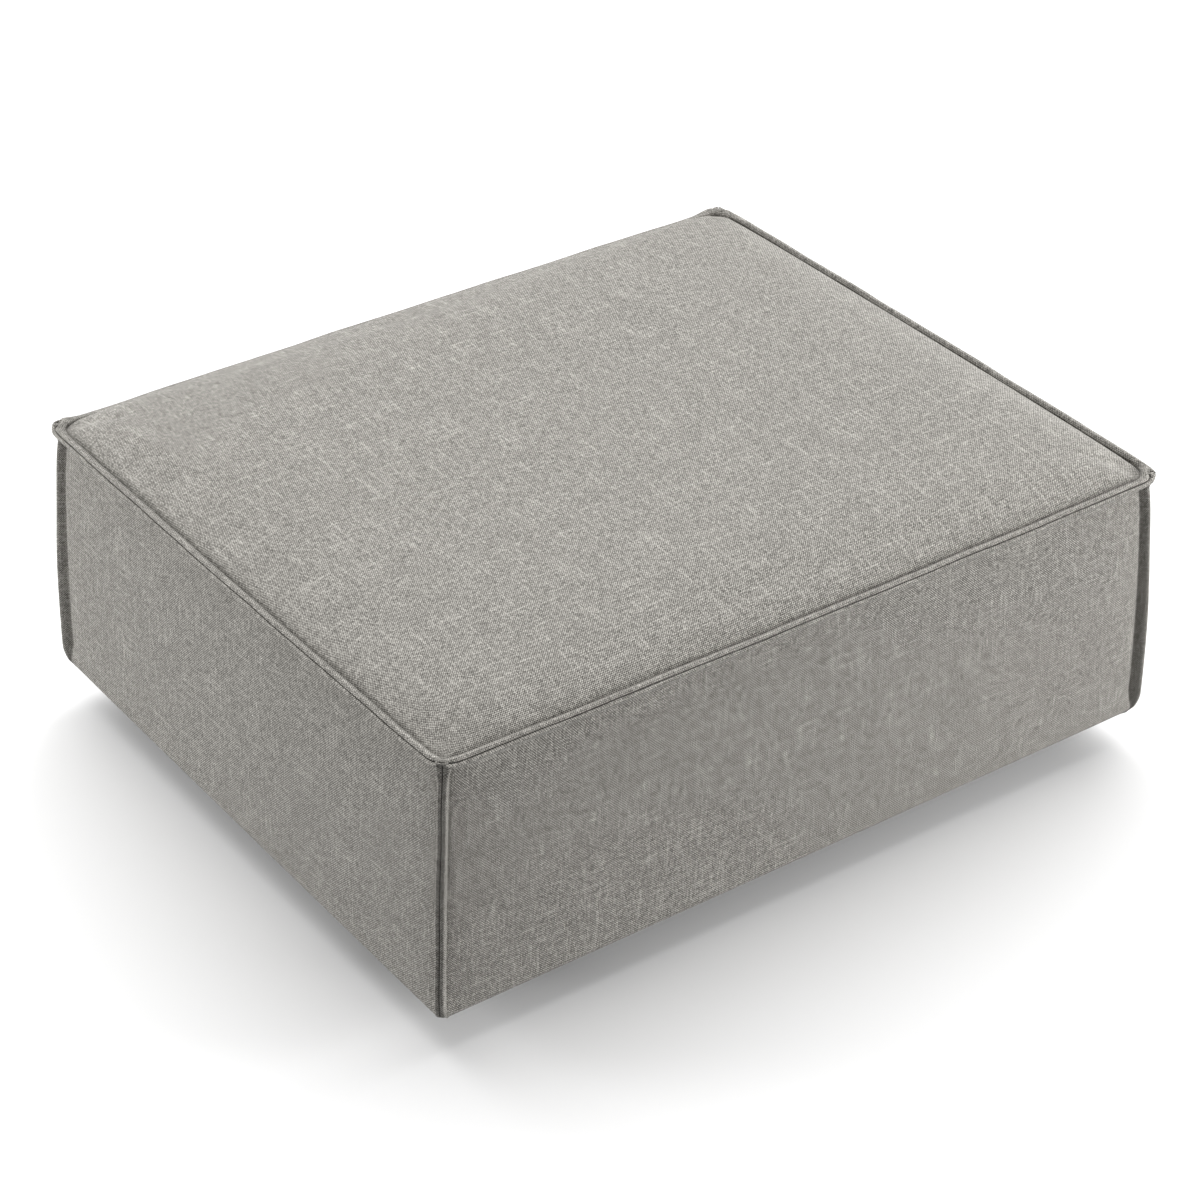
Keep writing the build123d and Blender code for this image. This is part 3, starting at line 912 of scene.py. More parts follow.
def patch_inside(ring, counts):
    """Points of a grid that fills a ring of four sides, without the ring itself."""
    n, m = counts
    starts = np.cumsum([0, n, m, n])
    front = ring[starts[0] : starts[0] + n + 1]
    right = ring[starts[1] : starts[1] + m + 1]
    back = ring[starts[2] : starts[2] + n + 1][::-1]
    left = np.concatenate([ring[starts[3] :], ring[:1]])[::-1]
    a = np.linspace(0, 1, n + 1)[None, :, None]
    b = np.linspace(0, 1, m + 1)[:, None, None]
    return (
        (1 - b) * front[None] + b * back[None] + (1 - a) * left[:, None] + a * right[:, None]
        - (1 - a) * (1 - b) * front[0] - a * (1 - b) * front[-1]
        - (1 - a) * b * back[0] - a * b * back[-1]
    )


def make_top_cover():
    """The crowned top panel with the upper lip of its seam, as one piece of fabric."""
    s = sizes()
    seam_a, seam_b = s.seam_length / 2, s.seam_depth / 2
    shares = [top_shares(seam_a), top_shares(seam_b)] * 2
    n, m = len(shares[0]) - 1, len(shares[1]) - 1
    lip = [flange(stand, rise) for stand, rise in lip_profile(s.top_lip, s.lip, 0.25)]
    rows, ways = [], []
    steps = len(lip) - 1
    for number, (out, up) in enumerate(reversed(lip)):
        left = min(1.0, (1 - number / steps) / 0.4)
        radius = s.crease_radius + (s.mitre_radius - s.crease_radius) * left
        lip_share = min(1, np.hypot(out, up) / 0.008)
        ring, face = top_ring(out, up, seam_a, seam_b, radius, shares, lip_share)
        rows.append(ring)
        ways.append(face)
    for drawn_in, rise in crown_rings():
        ring, face = top_ring(
            -drawn_in, rise + crown_height(drawn_in), seam_a, seam_b,
            crown_radius(drawn_in, s.crease_radius), shares,
        )
        rows.append(ring)
        ways.append(face)
    rows, ways = np.array(rows), np.array(ways)

    # The place on the flat fabric, further out than in plan by the way over the edge
    middle = rows[:, n // 2]
    run = np.linalg.norm(np.diff(middle, axis=0), axis=1)
    travel = np.concatenate([np.cumsum(run[::-1])[::-1], [0.0]])
    extra = travel - (middle[-1, 1] - middle[:, 1])
    uv = rows[:, :, :2] + ways * extra[:, None, None]

    # The grid of points that fills the innermost ring
    lie = rows[-1][:, :2]
    inside = patch_inside(np.column_stack([lie, np.zeros(len(lie))]), (n, m))
    height, width = inside.shape[:2]
    body = inside[1:-1, 1:-1].reshape(-1, 3)
    body[:, 2] = inner_height(body[:, :2])
    ring_count = rows.shape[1]
    points = np.concatenate([rows.reshape(-1, 3), body])
    places = np.concatenate([uv.reshape(-1, 2), body[:, :2]])
    last = (len(rows) - 1) * ring_count
    index = np.empty((height, width), int)
    index[1:-1, 1:-1] = last + ring_count + np.arange(len(body)).reshape(height - 2, width - 2)
    index[0, :] = last + np.arange(n + 1)
    index[:, -1] = last + n + np.arange(m + 1)
    index[-1, ::-1] = last + n + m + np.arange(n + 1)
    index[::-1, 0] = last + (2 * n + m + np.arange(m + 1)) % ring_count
    faces = np.concatenate([grid_faces(len(rows), ring_count, ring=True), quads(index)])
    cover = add_mesh("seat_top_cover", points, faces, places)
    firm = np.zeros(len(points))
    lip_rows = len(lip) + 2
    firm[: lip_rows * ring_count] = 1.0
    for row, weight in enumerate((0.8, 0.5, 0.25), lip_rows):
        firm[row * ring_count : (row + 1) * ring_count] = weight
    hold(cover, firm)
    return cover


def corner_stand(height):
    """How much of the corner lip stands out at a height, as a share of its width."""
    s = sizes()
    above = s.base_height + s.lip_end - height
    below = np.clip(above, 0, s.lip_end + s.corner_lip)
    edge = np.sqrt(np.clip((s.lip_end + s.corner_lip) ** 2 - below**2, 0, None)) - s.lip_end
    high = np.clip((height - 0.17) / 0.15, 0, 1)
    narrower = 0.14 * float(high * high * (3 - 2 * high))
    return float(np.clip(edge / s.corner_lip, 0, 1)) * (1 - narrower)


def side_rows():
    """Outline, height and lip values of each row of a side panel, from tuck to lip root.

    A row holds both half lengths, the bow, the corner radius, the height, the turn of the
    bottom edge, how far the top flange stands out, and how far the corner lip does.
    """
    s = sizes()
    wall_z, seam_z = heights()
    base_a, base_b = s.base_length / 2, s.base_depth / 2
    seam_a, seam_b = s.seam_length / 2, s.seam_depth / 2
    least_radius = 0.004
    rows = []
    for inward in (s.tuck, 0.050, 0.040, 0.030, 0.021, 0.014, 0.010):
        outline = (base_a - inward, base_b - inward, s.base_bow, least_radius)
        rows.append((*outline, s.base_height, pi / 2, 0.0, 0.0))
    for turn in np.radians(np.arange(90, 0, -15)):
        inward = s.bottom_radius * (1 - cos(turn))
        z = wall_z - s.bottom_radius * sin(turn)
        radius = max(s.base_radius - inward, least_radius)
        outline = (base_a - inward, base_b - inward, s.base_bow, radius)
        rows.append((*outline, z, turn, 0.0, corner_stand(z)))
    levels = np.concatenate(
        [
            wall_z + np.array([0.0, 0.003, 0.006, 0.010, 0.014, 0.019]),
            np.linspace(wall_z + 0.025, seam_z - 0.034, 27),
            seam_z - np.array([0.027, 0.021, 0.016, 0.012]),
        ]
    )
    for z in levels:
        k = (z - wall_z) / (seam_z - wall_z)
        swell = s.bulge * 4 * k * (1 - k) - 0.003 * np.exp(-(seam_z - z) / 0.016)
        half_a, half_b = base_a + (seam_a - base_a) * k, base_b + (seam_b - base_b) * k
        bow = s.base_bow + (s.bow - s.base_bow) * k
        radius = s.base_radius + (s.seam_radius - s.base_radius) * k
        rows.append((half_a + swell, half_b + swell, bow, radius, z, 0.0, 0.0, corner_stand(z)))
    bend = [(0.0006, -0.0095), (0.0020, -0.0072), (0.0040, -0.0050)]
    profile = lip_profile(s.top_lip, s.lip, 0.28)
    bend += [flange(stand, -s.groove - rise) for stand, rise in profile]
    for number, (out, up) in enumerate(bend):
        outer_face = number / (len(bend) - 1) < 0.55
        stands = 0.86 * (1 - np.clip((out - 0.004) / 0.0085, 0, 1)) if outer_face else 0.0
        left = max(0.0, 1 - number / (len(bend) - len(profile)))
        radius = s.mitre_radius + (s.seam_radius - s.mitre_radius) * left
        rows.append((seam_a + out, seam_b + out, s.bow, radius, seam_z + up, 0.0, out, stands))
    return rows


def fabric_distances(points, middle, level):
    """Distances over the fabric of a side panel, down its middle and across at one level."""
    runs = []
    for line in (points[:, middle], points[level]):
        steps = np.linalg.norm(np.diff(line, axis=0), axis=1)
        runs.append(np.concatenate([[0], np.cumsum(steps)]))
    return runs


def make_side_cover(side):
    """One side panel with its share of the top seam and of both corner seams."""
    s = sizes()
    number = SIDES.index(side)
    rows = [np.array(values)[:, None] for values in zip(*side_rows())]
    half_a, half_b, bow, radius, height, turn, out, stands = rows
    along, outward = directions(side)
    half_along, half_out = pick(side, half_a, half_b), pick(side, half_b, half_a)
    wall_z, seam_z = heights()
    gap = s.groove / 2
    rise = height - seam_z
    is_lip = out > 0
    profile = lip_profile(s.corner_lip, s.lip, 0.12)
    spread = 0.0030 * np.exp(-(((seam_z - 0.006 - height) / 0.007) ** 2)) * (stands > 0)
    above_foot = np.clip((height - wall_z) / 0.02, 0, 1)
    seam_near = np.clip((height - (seam_z - 0.020)) / 0.020, 0, 1)
    fade = (turn == 0) * (1 - seam_near) * above_foot
    near_seam = np.where(is_lip, 1.0, seam_near)

    # The wall, and the top flange above it
    edge = share_beside_corner(gap + s.lip * 1.02 + spread, half_along, bow, radius)
    wall = graded(int(round(half_along.max() * 2 / 0.0125)), 0.84) * edge
    flat, face = side_points(side, wall, half_a, half_b, bow, radius)
    distance = (1 - np.abs(wall)) * half_along
    lip_share = np.clip(out / 0.008, 0, 1)
    wave, breadth = lip_waves(number, wall * half_along, distance, lip_share)
    slack = slackness(side, wall)
    laid, lifted = laid_flange(side, out + 0 * distance, rise + 0 * distance, distance, slack)
    drawn = drawn_in_beside(distance) * fade + pulled_corner(distance, slack) * near_seam
    flat = flat + face * (breadth + np.where(is_lip, laid - out, 0))[..., None]
    flat = flat - face * drawn[..., None]
    level = height + wave + np.where(is_lip, lifted - rise, 0)
    points = np.concatenate([flat, level[..., None]], -1)

    # The lip at each end, which stands out along the diagonal of its corner
    ends = []
    rim_radius = np.where(is_lip, s.seam_radius, radius)
    mitre = sqrt(2) - 1
    drift_window = np.clip((height - wall_z) / 0.05, 0, 1)
    drift_window = drift_window * np.clip((seam_z - 0.012 - height) / 0.04, 0, 1)
    for sign, corner_name in zip((-1, 1), ENDS[side]):
        diagonal = (sign * along + outward) / np.sqrt(2)
        sideways = (-sign * along + outward) / np.sqrt(2)
        corner = sign * (half_along - out - bow)[..., None] * along
        corner = corner + (half_out - out - bow)[..., None] * outward
        seed = CORNERS.index(corner_name) + 2
        drift = sign * 0.0005 * gentle(height, 0.13, seed) * drift_window
        slack = slackness(side, sign)
        columns = []
        for order, (stand, side_way) in enumerate(profile):
            lateral = gap + side_way + spread * max(0.0, min(1.0, side_way / s.lip))
            laid, lifted = laid_flange(side, out, rise, lateral, slack)
            laid, lifted = np.where(is_lip, laid, out), np.where(is_lip, lifted, rise)
            more = laid - out - pulled_corner(lateral, slack) * near_seam
            share = share_beside_corner(np.maximum(lateral, gap), half_along + more, bow, radius)
            base, base_face = side_points(
                side, sign * share, half_a + more, half_b + more, bow, radius
            )
            mating = max(0.0, order - (len(profile) - 4)) / 3 * ~is_lip
            base = base - diagonal * (0.004 * mating)[..., None]
            base = base - base_face * (drawn_in_beside(0.0) * fade)[..., None]
            reach = stand - s.lip * 0.5 * (order == len(profile) - 1)
            raised = reach - rim_radius * mitre
            at_rim = np.maximum(raised, (out + more) * sqrt(2) - radius * mitre)
            raised = np.where(is_lip, at_rim, raised)
            lip = corner + raised[..., None] * diagonal + (lateral + drift)[..., None] * sideways
            flat = base + (lip - base) * stands[..., None]
            columns.append(np.concatenate([flat, (seam_z + lifted)[..., None]], -1))
        ends.append(np.concatenate(columns[::sign], 1))
    points = np.concatenate([ends[0], points, ends[1]], 1)

    middle = points.shape[1] // 2
    down, over = fabric_distances(points, middle, int(np.argmin(np.abs(height[:, 0] - 0.2))))
    over = over - over[middle] + 3.1 * number
    uv = np.stack(np.broadcast_arrays(over[None, :], down[:, None]), -1)
    faces = grid_faces(*points.shape[:2])
    cover = add_mesh(f"{side}_panel_cover", points.reshape(-1, 3), faces, uv.reshape(-1, 2))
    firm = np.zeros(points.shape[:2])
    lips = len(profile)
    firm[:, :lips] = firm[:, -lips:] = 1
    for step, weight in enumerate((0.9, 0.6, 0.3)):
        firm[:, lips + step] = firm[:, -lips - 1 - step] = weight
    near = height[:, 0] > seam_z - 0.030
    firm[near] = np.maximum(firm[near], 0.5)
    firm[(turn[:, 0] > radians(20)) | (height[:, 0] > seam_z - 0.018)] = 1
    hold(cover, firm.ravel())
    return cover


# Padding


def body_ring(half_length, half_depth, bow, radius, height, count=24):
    """One closed outline of the padding."""
    shares = np.linspace(-1, 1, count + 1)[:-1]
    flat = np.concatenate(
        [side_points(side, shares, half_length, half_depth, bow, radius)[0] for side in SIDES]
    )
    return np.column_stack([flat, np.full(len(flat), height)])


def wall_ring(height, inset):
    """The body's outline at a height, drawn in by an inset."""
    s = sizes()
    wall_z, seam_z = heights()
    k = (height - wall_z) / (seam_z - wall_z)
    reach = s.bulge * 4 * k * (1 - k) - inset - 0.0035 * np.exp(-(seam_z - height) / 0.016)
    return body_ring(
        (s.base_length + (s.seam_length - s.base_length) * k) / 2 + reach,
        (s.base_depth + (s.seam_depth - s.base_depth) * k) / 2 + reach,
        s.base_bow + (s.bow - s.base_bow) * k,
        s.base_radius + (s.seam_radius - s.base_radius) * k + 0.018 - inset,
        height,
    )


def crown_ring(drawn_in, inset):
    """One outline of the padding's crown, which lies an inset below the cover."""
    s = sizes()
    half_a, half_b = s.seam_length / 2, s.seam_depth / 2
    lean = exp(-drawn_in / 0.03)
    inward = drawn_in + inset * lean
    across = 1 - min(drawn_in / s.shoulder_width, 1)
    rise = s.shoulder_height * sqrt(1 - across**2) + float(crown_height(drawn_in))
    rise -= inset * (1 - lean)
    radius = min(s.seam_radius + 0.018 + 1.8 * drawn_in, 0.8 * (half_b - drawn_in))
    ring = body_ring(
        half_a - inward, half_b - inward, s.bow, radius - inset * lean, heights()[1] + rise
    )
    shares = 1 - np.abs(np.linspace(-1, 1, 25)[:-1])
    beside = np.concatenate([shares * half_a, shares * half_b] * 2)
    ring[:, 2] -= max(rise, 0.0) * 1.15 * corner_dip(beside, drawn_in)
    return ring


def padding_rings(bottom, inset):
    """Outlines of the padding from a level bottom up over its crown."""
    walls = [wall_ring(z, inset) for z in np.linspace(bottom, heights()[1] - 0.004, 9)]
    places = (
        0.0002, 0.0015, 0.004, 0.008, 0.014, 0.022, 0.032, 0.045,
        0.062, 0.085, 0.115, 0.15, 0.2, 0.27, 0.34, 0.38,
    )
    return walls + [crown_ring(place, inset) for place in places]


def make_foam_core():
    """The seat foam, crowned on top and flat on its felt."""
    low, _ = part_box("seat_foam_core")
    return closed_rings("seat_foam", padding_rings(low.z, 0.0151))


def make_wadding():
    """The fibre wrap over the seat foam, open below."""
    low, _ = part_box("seat_wadding")
    outer, inner = padding_rings(low.z, 0.0034), padding_rings(low.z, 0.0146)
    count, offset = len(outer[0]), len(outer) * len(outer[0])
    top, under = offset - count, offset + (len(inner) - 1) * count
    faces = [tuple(f) for f in grid_faces(len(outer), count, ring=True)]
    faces += [tuple(f[::-1]) for f in grid_faces(len(inner), count, start=offset, ring=True)]
    for i in range(count):
        after = (i + 1) % count
        faces.append((i, offset + i, offset + after, after))
    faces += [tuple(range(top, top + count)), tuple(reversed(range(under, under + count)))]
    return add_mesh("seat_fibre_wrap", np.concatenate(outer + inner), faces)


def make_side_foam(side):
    """One side pad with a round bottom edge, mitred to its neighbours."""
    s = sizes()
    low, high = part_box(f"{side}_side_foam")
    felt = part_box("deck_felt")[1]
    along, outward = directions(side)
    inset, lining = 0.0029, 0.0034
    mitre, corner, fullness, count = 0.017, 0.034, 0.8, 41
    inner_out = pick(side, felt.y, felt.x) + lining
    base_out = pick(side, s.base_depth, s.base_length) / 2
    seam_out = pick(side, s.seam_depth, s.seam_length) / 2
    half_along = pick(side, s.base_length, s.base_depth) / 2
    wall_z, seam_z = heights()
    edge = s.bottom_radius - inset
    outline = []
    for turn in np.radians(np.linspace(90, 0, 9)):
        outline.append((base_out - inset - edge * (1 - cos(turn)), wall_z - edge * sin(turn)))
    for z in np.linspace(wall_z + 0.02, high.z, 9):
        k = (z - wall_z) / (seam_z - wall_z)
        swell = s.bulge * 4 * k * (1 - k) - inset
        outline.append((base_out + (seam_out - base_out) * k + swell, z))
    outline += [(inner_out, high.z), (inner_out, low.z)]
    shares = np.linspace(-1, 1, count)
    points = []
    for out, z in outline:
        reach = half_along - (base_out - out) - mitre
        a = np.sign(shares) * np.abs(shares) ** fullness * reach
        close = np.clip((np.abs(a) - (reach - corner)) / corner, 0, 1)
        rounded = corner * (1 - np.sqrt(1 - (0.86 * close) ** 2))
        rounded += 1.1 * drawn_in_beside(np.clip(half_along - np.abs(a), 0, None))
        o = out - np.minimum(rounded, max(out - inner_out, 0.0))
        flat = a[:, None] * along + o[:, None] * outward
        points.append(np.column_stack([flat, np.full(count, z)]))
    index = np.arange(len(points) * count).reshape(-1, count)
    faces = [tuple(f) for f in quads(np.concatenate([index, index[:1]]))]
    faces += [tuple(index[:, 0]), tuple(index[::-1, -1])]
    return clean(add_mesh(f"{side}_side_pad", np.concatenate(points), faces))


def make_felt():
    """The felt pad that lies over the webbing, with soft edges."""
    low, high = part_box("deck_felt")
    edge = 0.0012
    spots = ((edge, low.z), (0, low.z + edge), (0, high.z - edge), (edge, high.z))
    rings = [body_ring(high.x - k, high.y - k, 0.0, 0.004, z, 40) for k, z in spots]
    return closed_rings("deck_felt_pad", rings)


# Deck, underside and feet


def make_webbing(name, nodes, first_over):
    """A set of parallel straps that pass over and under the straps that cross them."""
    boxes = [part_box(node) for node in nodes]
    low, high = boxes[0]
    lengthwise = high.x - low.x > high.y - low.y
    run, cross = (0, 1) if lengthwise else (1, 0)
    places = [(start[cross] + end[cross]) / 2 for start, end in boxes]
    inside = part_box("top_rail_right")[0].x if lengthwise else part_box("top_rail_back")[0].y
    crossings = 6 if lengthwise else 5
    thick = 0.0019
    shape = NodeShape(name)
    strap_length = shape.size("Strap length", high[run] - low[run])
    strap_width = shape.size("Strap width", high[cross] - low[cross])
    thickness = shape.size("Thickness", thick)
    lift = shape.size("Lift", 0.0012)
    spacing = shape.size("Strap spacing", places[1] - places[0])
    wave_length = shape.size("Crossing spacing", 2 * inside / crossings)
    count = shape.size("Straps", len(places), "NodeSocketInt")
    phase = shape.size("First over", first_over, "NodeSocketInt")

    # One flat strap, then the row of straps with the order of each stored
    flat = shape.node(
        "GeometryNodeMeshGrid",
        {"Size X": strap_length, "Size Y": strap_width, "Vertices X": 145, "Vertices Y": 5},
    )
    spot = shape.node("GeometryNodeInputPosition")
    kept = shape.node(
        "GeometryNodeStoreNamedAttribute",
        {"Geometry": flat, "Name": "fabric", "Value": spot},
        data_type="FLOAT2", domain="CORNER",
    )
    row = shape.node("GeometryNodeMeshLine", {"Count": count, "Offset": (0, 0, 0)})
    order = shape.node("GeometryNodeInputIndex")
    middle = shape.sum("DIVIDE", shape.sum("SUBTRACT", count, 1.0), 2.0)
    aside = shape.sum("MULTIPLY", shape.sum("SUBTRACT", order, middle), spacing)
    offset = shape.node("ShaderNodeCombineXYZ", {1: aside})
    spread = shape.node("GeometryNodeSetPosition", {"Geometry": row, "Offset": offset})
    straps = shape.node("GeometryNodeInstanceOnPoints", {"Points": spread, "Instance": kept})
    ordered = shape.node(
        "GeometryNodeStoreNamedAttribute",
        {"Geometry": straps, "Name": "order", "Value": order},
        data_type="FLOAT", domain="INSTANCE",
    )
    real = shape.node("GeometryNodeRealizeInstances", {0: ordered})

    # The lift of each place, which changes side from crossing to crossing
    which = shape.node("GeometryNodeInputNamedAttribute", {"Name": "order"}, data_type="FLOAT")
    along = shape.node("ShaderNodeSeparateXYZ", {0: shape.node("GeometryNodeInputPosition")})
    steps = shape.sum("ADD", shape.sum("DIVIDE", along, wave_length), 0.5 * (crossings - 1))
    turns = shape.sum("ADD", steps, shape.sum("ADD", which, phase))
    wave = shape.sum("COSINE", shape.sum("MULTIPLY", turns, pi))
    firm = shape.sum("MINIMUM", shape.sum("MULTIPLY", wave, 2.2), 1.0)
    held = shape.sum("MULTIPLY", shape.sum("MAXIMUM", firm, -1.0), lift)
    clear = shape.sum("LESS_THAN", shape.sum("ABSOLUTE", along), inside - 0.008)
    up = shape.node("ShaderNodeCombineXYZ", {2: shape.sum("MULTIPLY", held, clear)})
    woven = shape.node("GeometryNodeSetPosition", {"Geometry": real, "Offset": up})

    # The thickness, with a face on both sides
    normal = shape.node("ShaderNodeCombineXYZ", {2: 1.0})
    solid = shape.node(
        "GeometryNodeExtrudeMesh",
        {"Mesh": woven, "Offset": normal, "Offset Scale": thickness, "Individual": False},
    )
    both = shape.add("GeometryNodeJoinGeometry")
    for piece in (solid, shape.node("GeometryNodeFlipFaces", {0: woven})):
        shape.put(both.inputs[0], piece)
    merged = shape.node(
        "GeometryNodeMergeByDistance", {"Geometry": both.outputs[0], "Distance": 0.00001}
    )
    made = shape.run(merged, made_once("elastic_webbing", elastic_webbing))
    turn = Matrix() if lengthwise else Matrix.Rotation(pi / 2, 4, "Z")
    made.data.transform(Matrix.Translation((0, 0, (low.z + high.z - thick) / 2)) @ turn)
    made.data.update()
    return made


def stud_places():
    """Where the four foot studs stand."""
    boxes = [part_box(f"foot_{corner}") for corner in CORNERS]
    return [((low.x + high.x) / 2, (low.y + high.y) / 2) for low, high in boxes]


def sheet_outline():
    """The flat points and triangles of the dust sheet, with a hole for each stud."""
    half_x, half_y = SHEET_HIGH.x, SHEET_HIGH.y
    studs = stud_places()
    corner, hole, step = 0.010, 0.0043, 0.014
    loops = [body_ring(half_x, half_y, 0.0, corner, 0.0, 60)[:, :2]]
    for x, y in studs:
        loops += [circle(16, hole, x, y), circle(16, 2.2 * hole, x, y)]
    points, edges = [], []
    for line in loops:
        start, count = len(points), len(line)
        points += [Vector(p) for p in line]
        edges += [(start + i, start + (i + 1) % count) for i in range(count)]
    for x in np.arange(-half_x + step, half_x - step / 2, step):
        for y in np.arange(-half_y + step, half_y - step / 2, step):
            if min(np.hypot(x - a, y - b) for a, b in studs) > 2.6 * hole:
                points.append(Vector((x, y)))
    flat, _, triangles, *_ = delaunay_2d_cdt(points, edges, [], 0, 1e-7)
    flat = np.array([tuple(p) for p in flat])
    kept = []
    for face in triangles:
        centre = flat[list(face)].mean(0)
        free = min(np.hypot(centre[0] - a, centre[1] - b) for a, b in studs) > hole * 0.98
        if free and not outside_round(centre, half_x, half_y, corner):
            kept.append(face)
    return flat, kept


def make_dust_sheet():
    """The black cloth below the frame, which sags a little between its edges and the studs."""
    flat, faces = sheet_outline()
    edge = np.minimum(SHEET_HIGH.x - np.abs(flat[:, 0]), SHEET_HIGH.y - np.abs(flat[:, 1]))
    calm = np.clip(edge / 0.09, 0, 1)
    for a, b in stud_places():
        away = np.hypot(flat[:, 0] - a, flat[:, 1] - b)
        calm = np.minimum(calm, np.clip((away - 0.036) / 0.08, 0, 1))
    sag = 0.0035 * calm**0.7 * np.clip(edge / 0.3, 0, 1)
    pucker = 0.0007 * np.clip(edge / 0.02, 0, 1) * np.exp(-edge / 0.05)
    ripple = pucker * gentle(flat[:, 0] + flat[:, 1] * 0.7, 0.045, 3)
    ripple = (ripple - np.abs(ripple).max()) * (edge > 0.002) * calm
    drift = 0.0009 * calm * gentle(flat[:, 0] * 0.8 - flat[:, 1], 0.16, 7)
    height = SHEET_LOW.z + 0.0006 - sag + ripple + drift * calm
    sheet = clean(add_mesh("underside_dust_sheet", np.column_stack([flat, height]), faces))
    if sum(f.normal.z * f.area for f in sheet.data.polygons) > 0:
        sheet.data.flip_normals()
    thicken(sheet, 0.0004)
    return sheet


def outside_round(place, half_x, half_y, corner):
    """True where a place lies outside a rectangle with round corners."""
    x, y = abs(place[0]) - (half_x - corner), abs(place[1]) - (half_y - corner)
    return max(x, y) > corner or (x > 0 and y > 0 and np.hypot(x, y) > corner)


def make_hem():
    """The folded edge of the dust sheet, a soft double band all round."""
    profile = [
        (0.0, 0.0010), (0.0004, 0.0004), (0.0022, 0.0001), (0.010, 0.0001), (0.019, 0.0002),
        (0.0205, 0.0007), (0.019, 0.0011), (0.010, 0.0012), (0.0022, 0.0012), (0.0, 0.0010),
    ]
    rings = []
    for inward, z in profile:
        radius = max(0.010 - inward, 0.0015)
        half_x, half_y = SHEET_HIGH.x - inward, SHEET_HIGH.y - inward
        rings.append(body_ring(half_x, half_y, 0.0, radius, SHEET_LOW.z + z - 0.0002, 60))
    faces = grid_faces(len(rings), len(rings[0]), ring=True)
    return clean(add_mesh("underside_hem", np.concatenate(rings), faces))


def staple_unit():
    """One staple: a rounded bar with two legs that turn into the wood."""
    wire, half, leg = 0.0006, 0.0055, 0.0012
    arm = [(half - 0.0006, 0.0), (half, 0.0002), (half, leg)]
    line = [Vector((-x, 0, z)) for x, z in reversed(arm)] + [Vector((x, 0, z)) for x, z in arm]
    rings = []
    for i, spot in enumerate(line):
        ahead = line[min(i + 1, len(line) - 1)] - line[max(i - 1, 0)]
        across = ahead.normalized().cross(Vector((0, 1, 0)))
        turns = [pi / 4 + turn * pi / 2 for turn in range(4)]
        rings.append(
            [spot + wire * (Vector((0, cos(t), 0)) + across * sin(t) * 0.7) for t in turns]
        )
    return clean(closed_rings("staple_unit", rings, smooth=False))


def stitch_unit(size, thick):
    """One stitch: a thread that rises from the fabric and dips back into it."""
    half = size * 0.36
    rings = []
    for share, z in ((-1, -0.3), (-0.75, 0.55), (0, 0.85), (0.75, 0.55), (1, -0.3)):
        swell = thick * (0.5 if abs(share) == 1 else 1.0)
        rings.append([(half * share, y, z * thick + 0.8 * up) for y, up in circle(5, swell)])
    return clean(closed_rings("stitch_unit", rings))


def make_glide(corner):
    """One felt glide with a soft, rounded rim."""
    low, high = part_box("foot_glides")
    x, y = stud_places()[CORNERS.index(corner)]
    radius, top = (high.x - low.x) / 2 - abs(x), high.z
    spots = [
        (0.0, 0.0), (radius * 0.5, 0.0), (radius - 0.0022, 0.0), (radius - 0.0008, 0.0005),
        (radius, 0.0017), (radius, top - 0.0004), (radius - 0.0005, top), (0.0, top),
    ]
    rings = [[(*spot, z) for spot in circle(48, r, x, y)] for r, z in spots]
    faces = grid_faces(len(rings), 48, ring=True)
    return clean(add_mesh(f"glide_{corner}", np.concatenate(rings), faces))


# Operators


class OTTOMAN_OT_cover(bpy.types.Operator):
    """Make the five cover panels with their seam lips, pushed out by the filling"""

    bl_idname = "ottoman.cover"
    bl_label = "Cover"

    def execute(self, context):
        s = sizes()
        material = made_once("woven_cover_fabric", woven_cover)
        panels = {"top": make_top_cover()}
        panels.update({side: make_side_cover(side) for side in SIDES})
        let_fabric_settle(list(panels.values()), s.swell)
        for name, panel in panels.items():
            smooth_and_thicken(panel, s.fabric)
            finish_with(panel, material)
            place_piece(panel, [f"{name}_cover"])
        return {"FINISHED"}


class OTTOMAN_OT_stitches(bpy.types.Operator):
    """Sew a row of stitches along each lip"""

    bl_idname = "ottoman.stitches"
    bl_label = "Seam stitches"

    def execute(self, context):
        s = sizes()
        thread = made_once("sewing_thread", sewing_thread)
        seam_a, seam_b = s.seam_length / 2, s.seam_depth / 2
        shares = [top_shares(seam_a), top_shares(seam_b)] * 2
        rows = {"upper": s.lip * 1.05, "lower": -s.groove - s.lip * 1.05}
        for name, rise in rows.items():
            out, up = flange(s.top_lip * 0.58, rise)
            ring, facing = top_ring(out, up, seam_a, seam_b, s.mitre_radius, shares, 1.0)
            tilt, way = s.lip_tilt, np.sign(rise)
            ups = way * np.column_stack([-facing * sin(tilt), np.full(len(facing), cos(tilt))])
            unit = stitch_unit(s.stitch, 0.00035)
            runs = [(ring, ups, True)]
            name = f"{name}_lip_stitches"
            place_piece(repeat_on_path(name, runs, unit, s.stitch, thread, 3, 0.05))
        return {"FINISHED"}


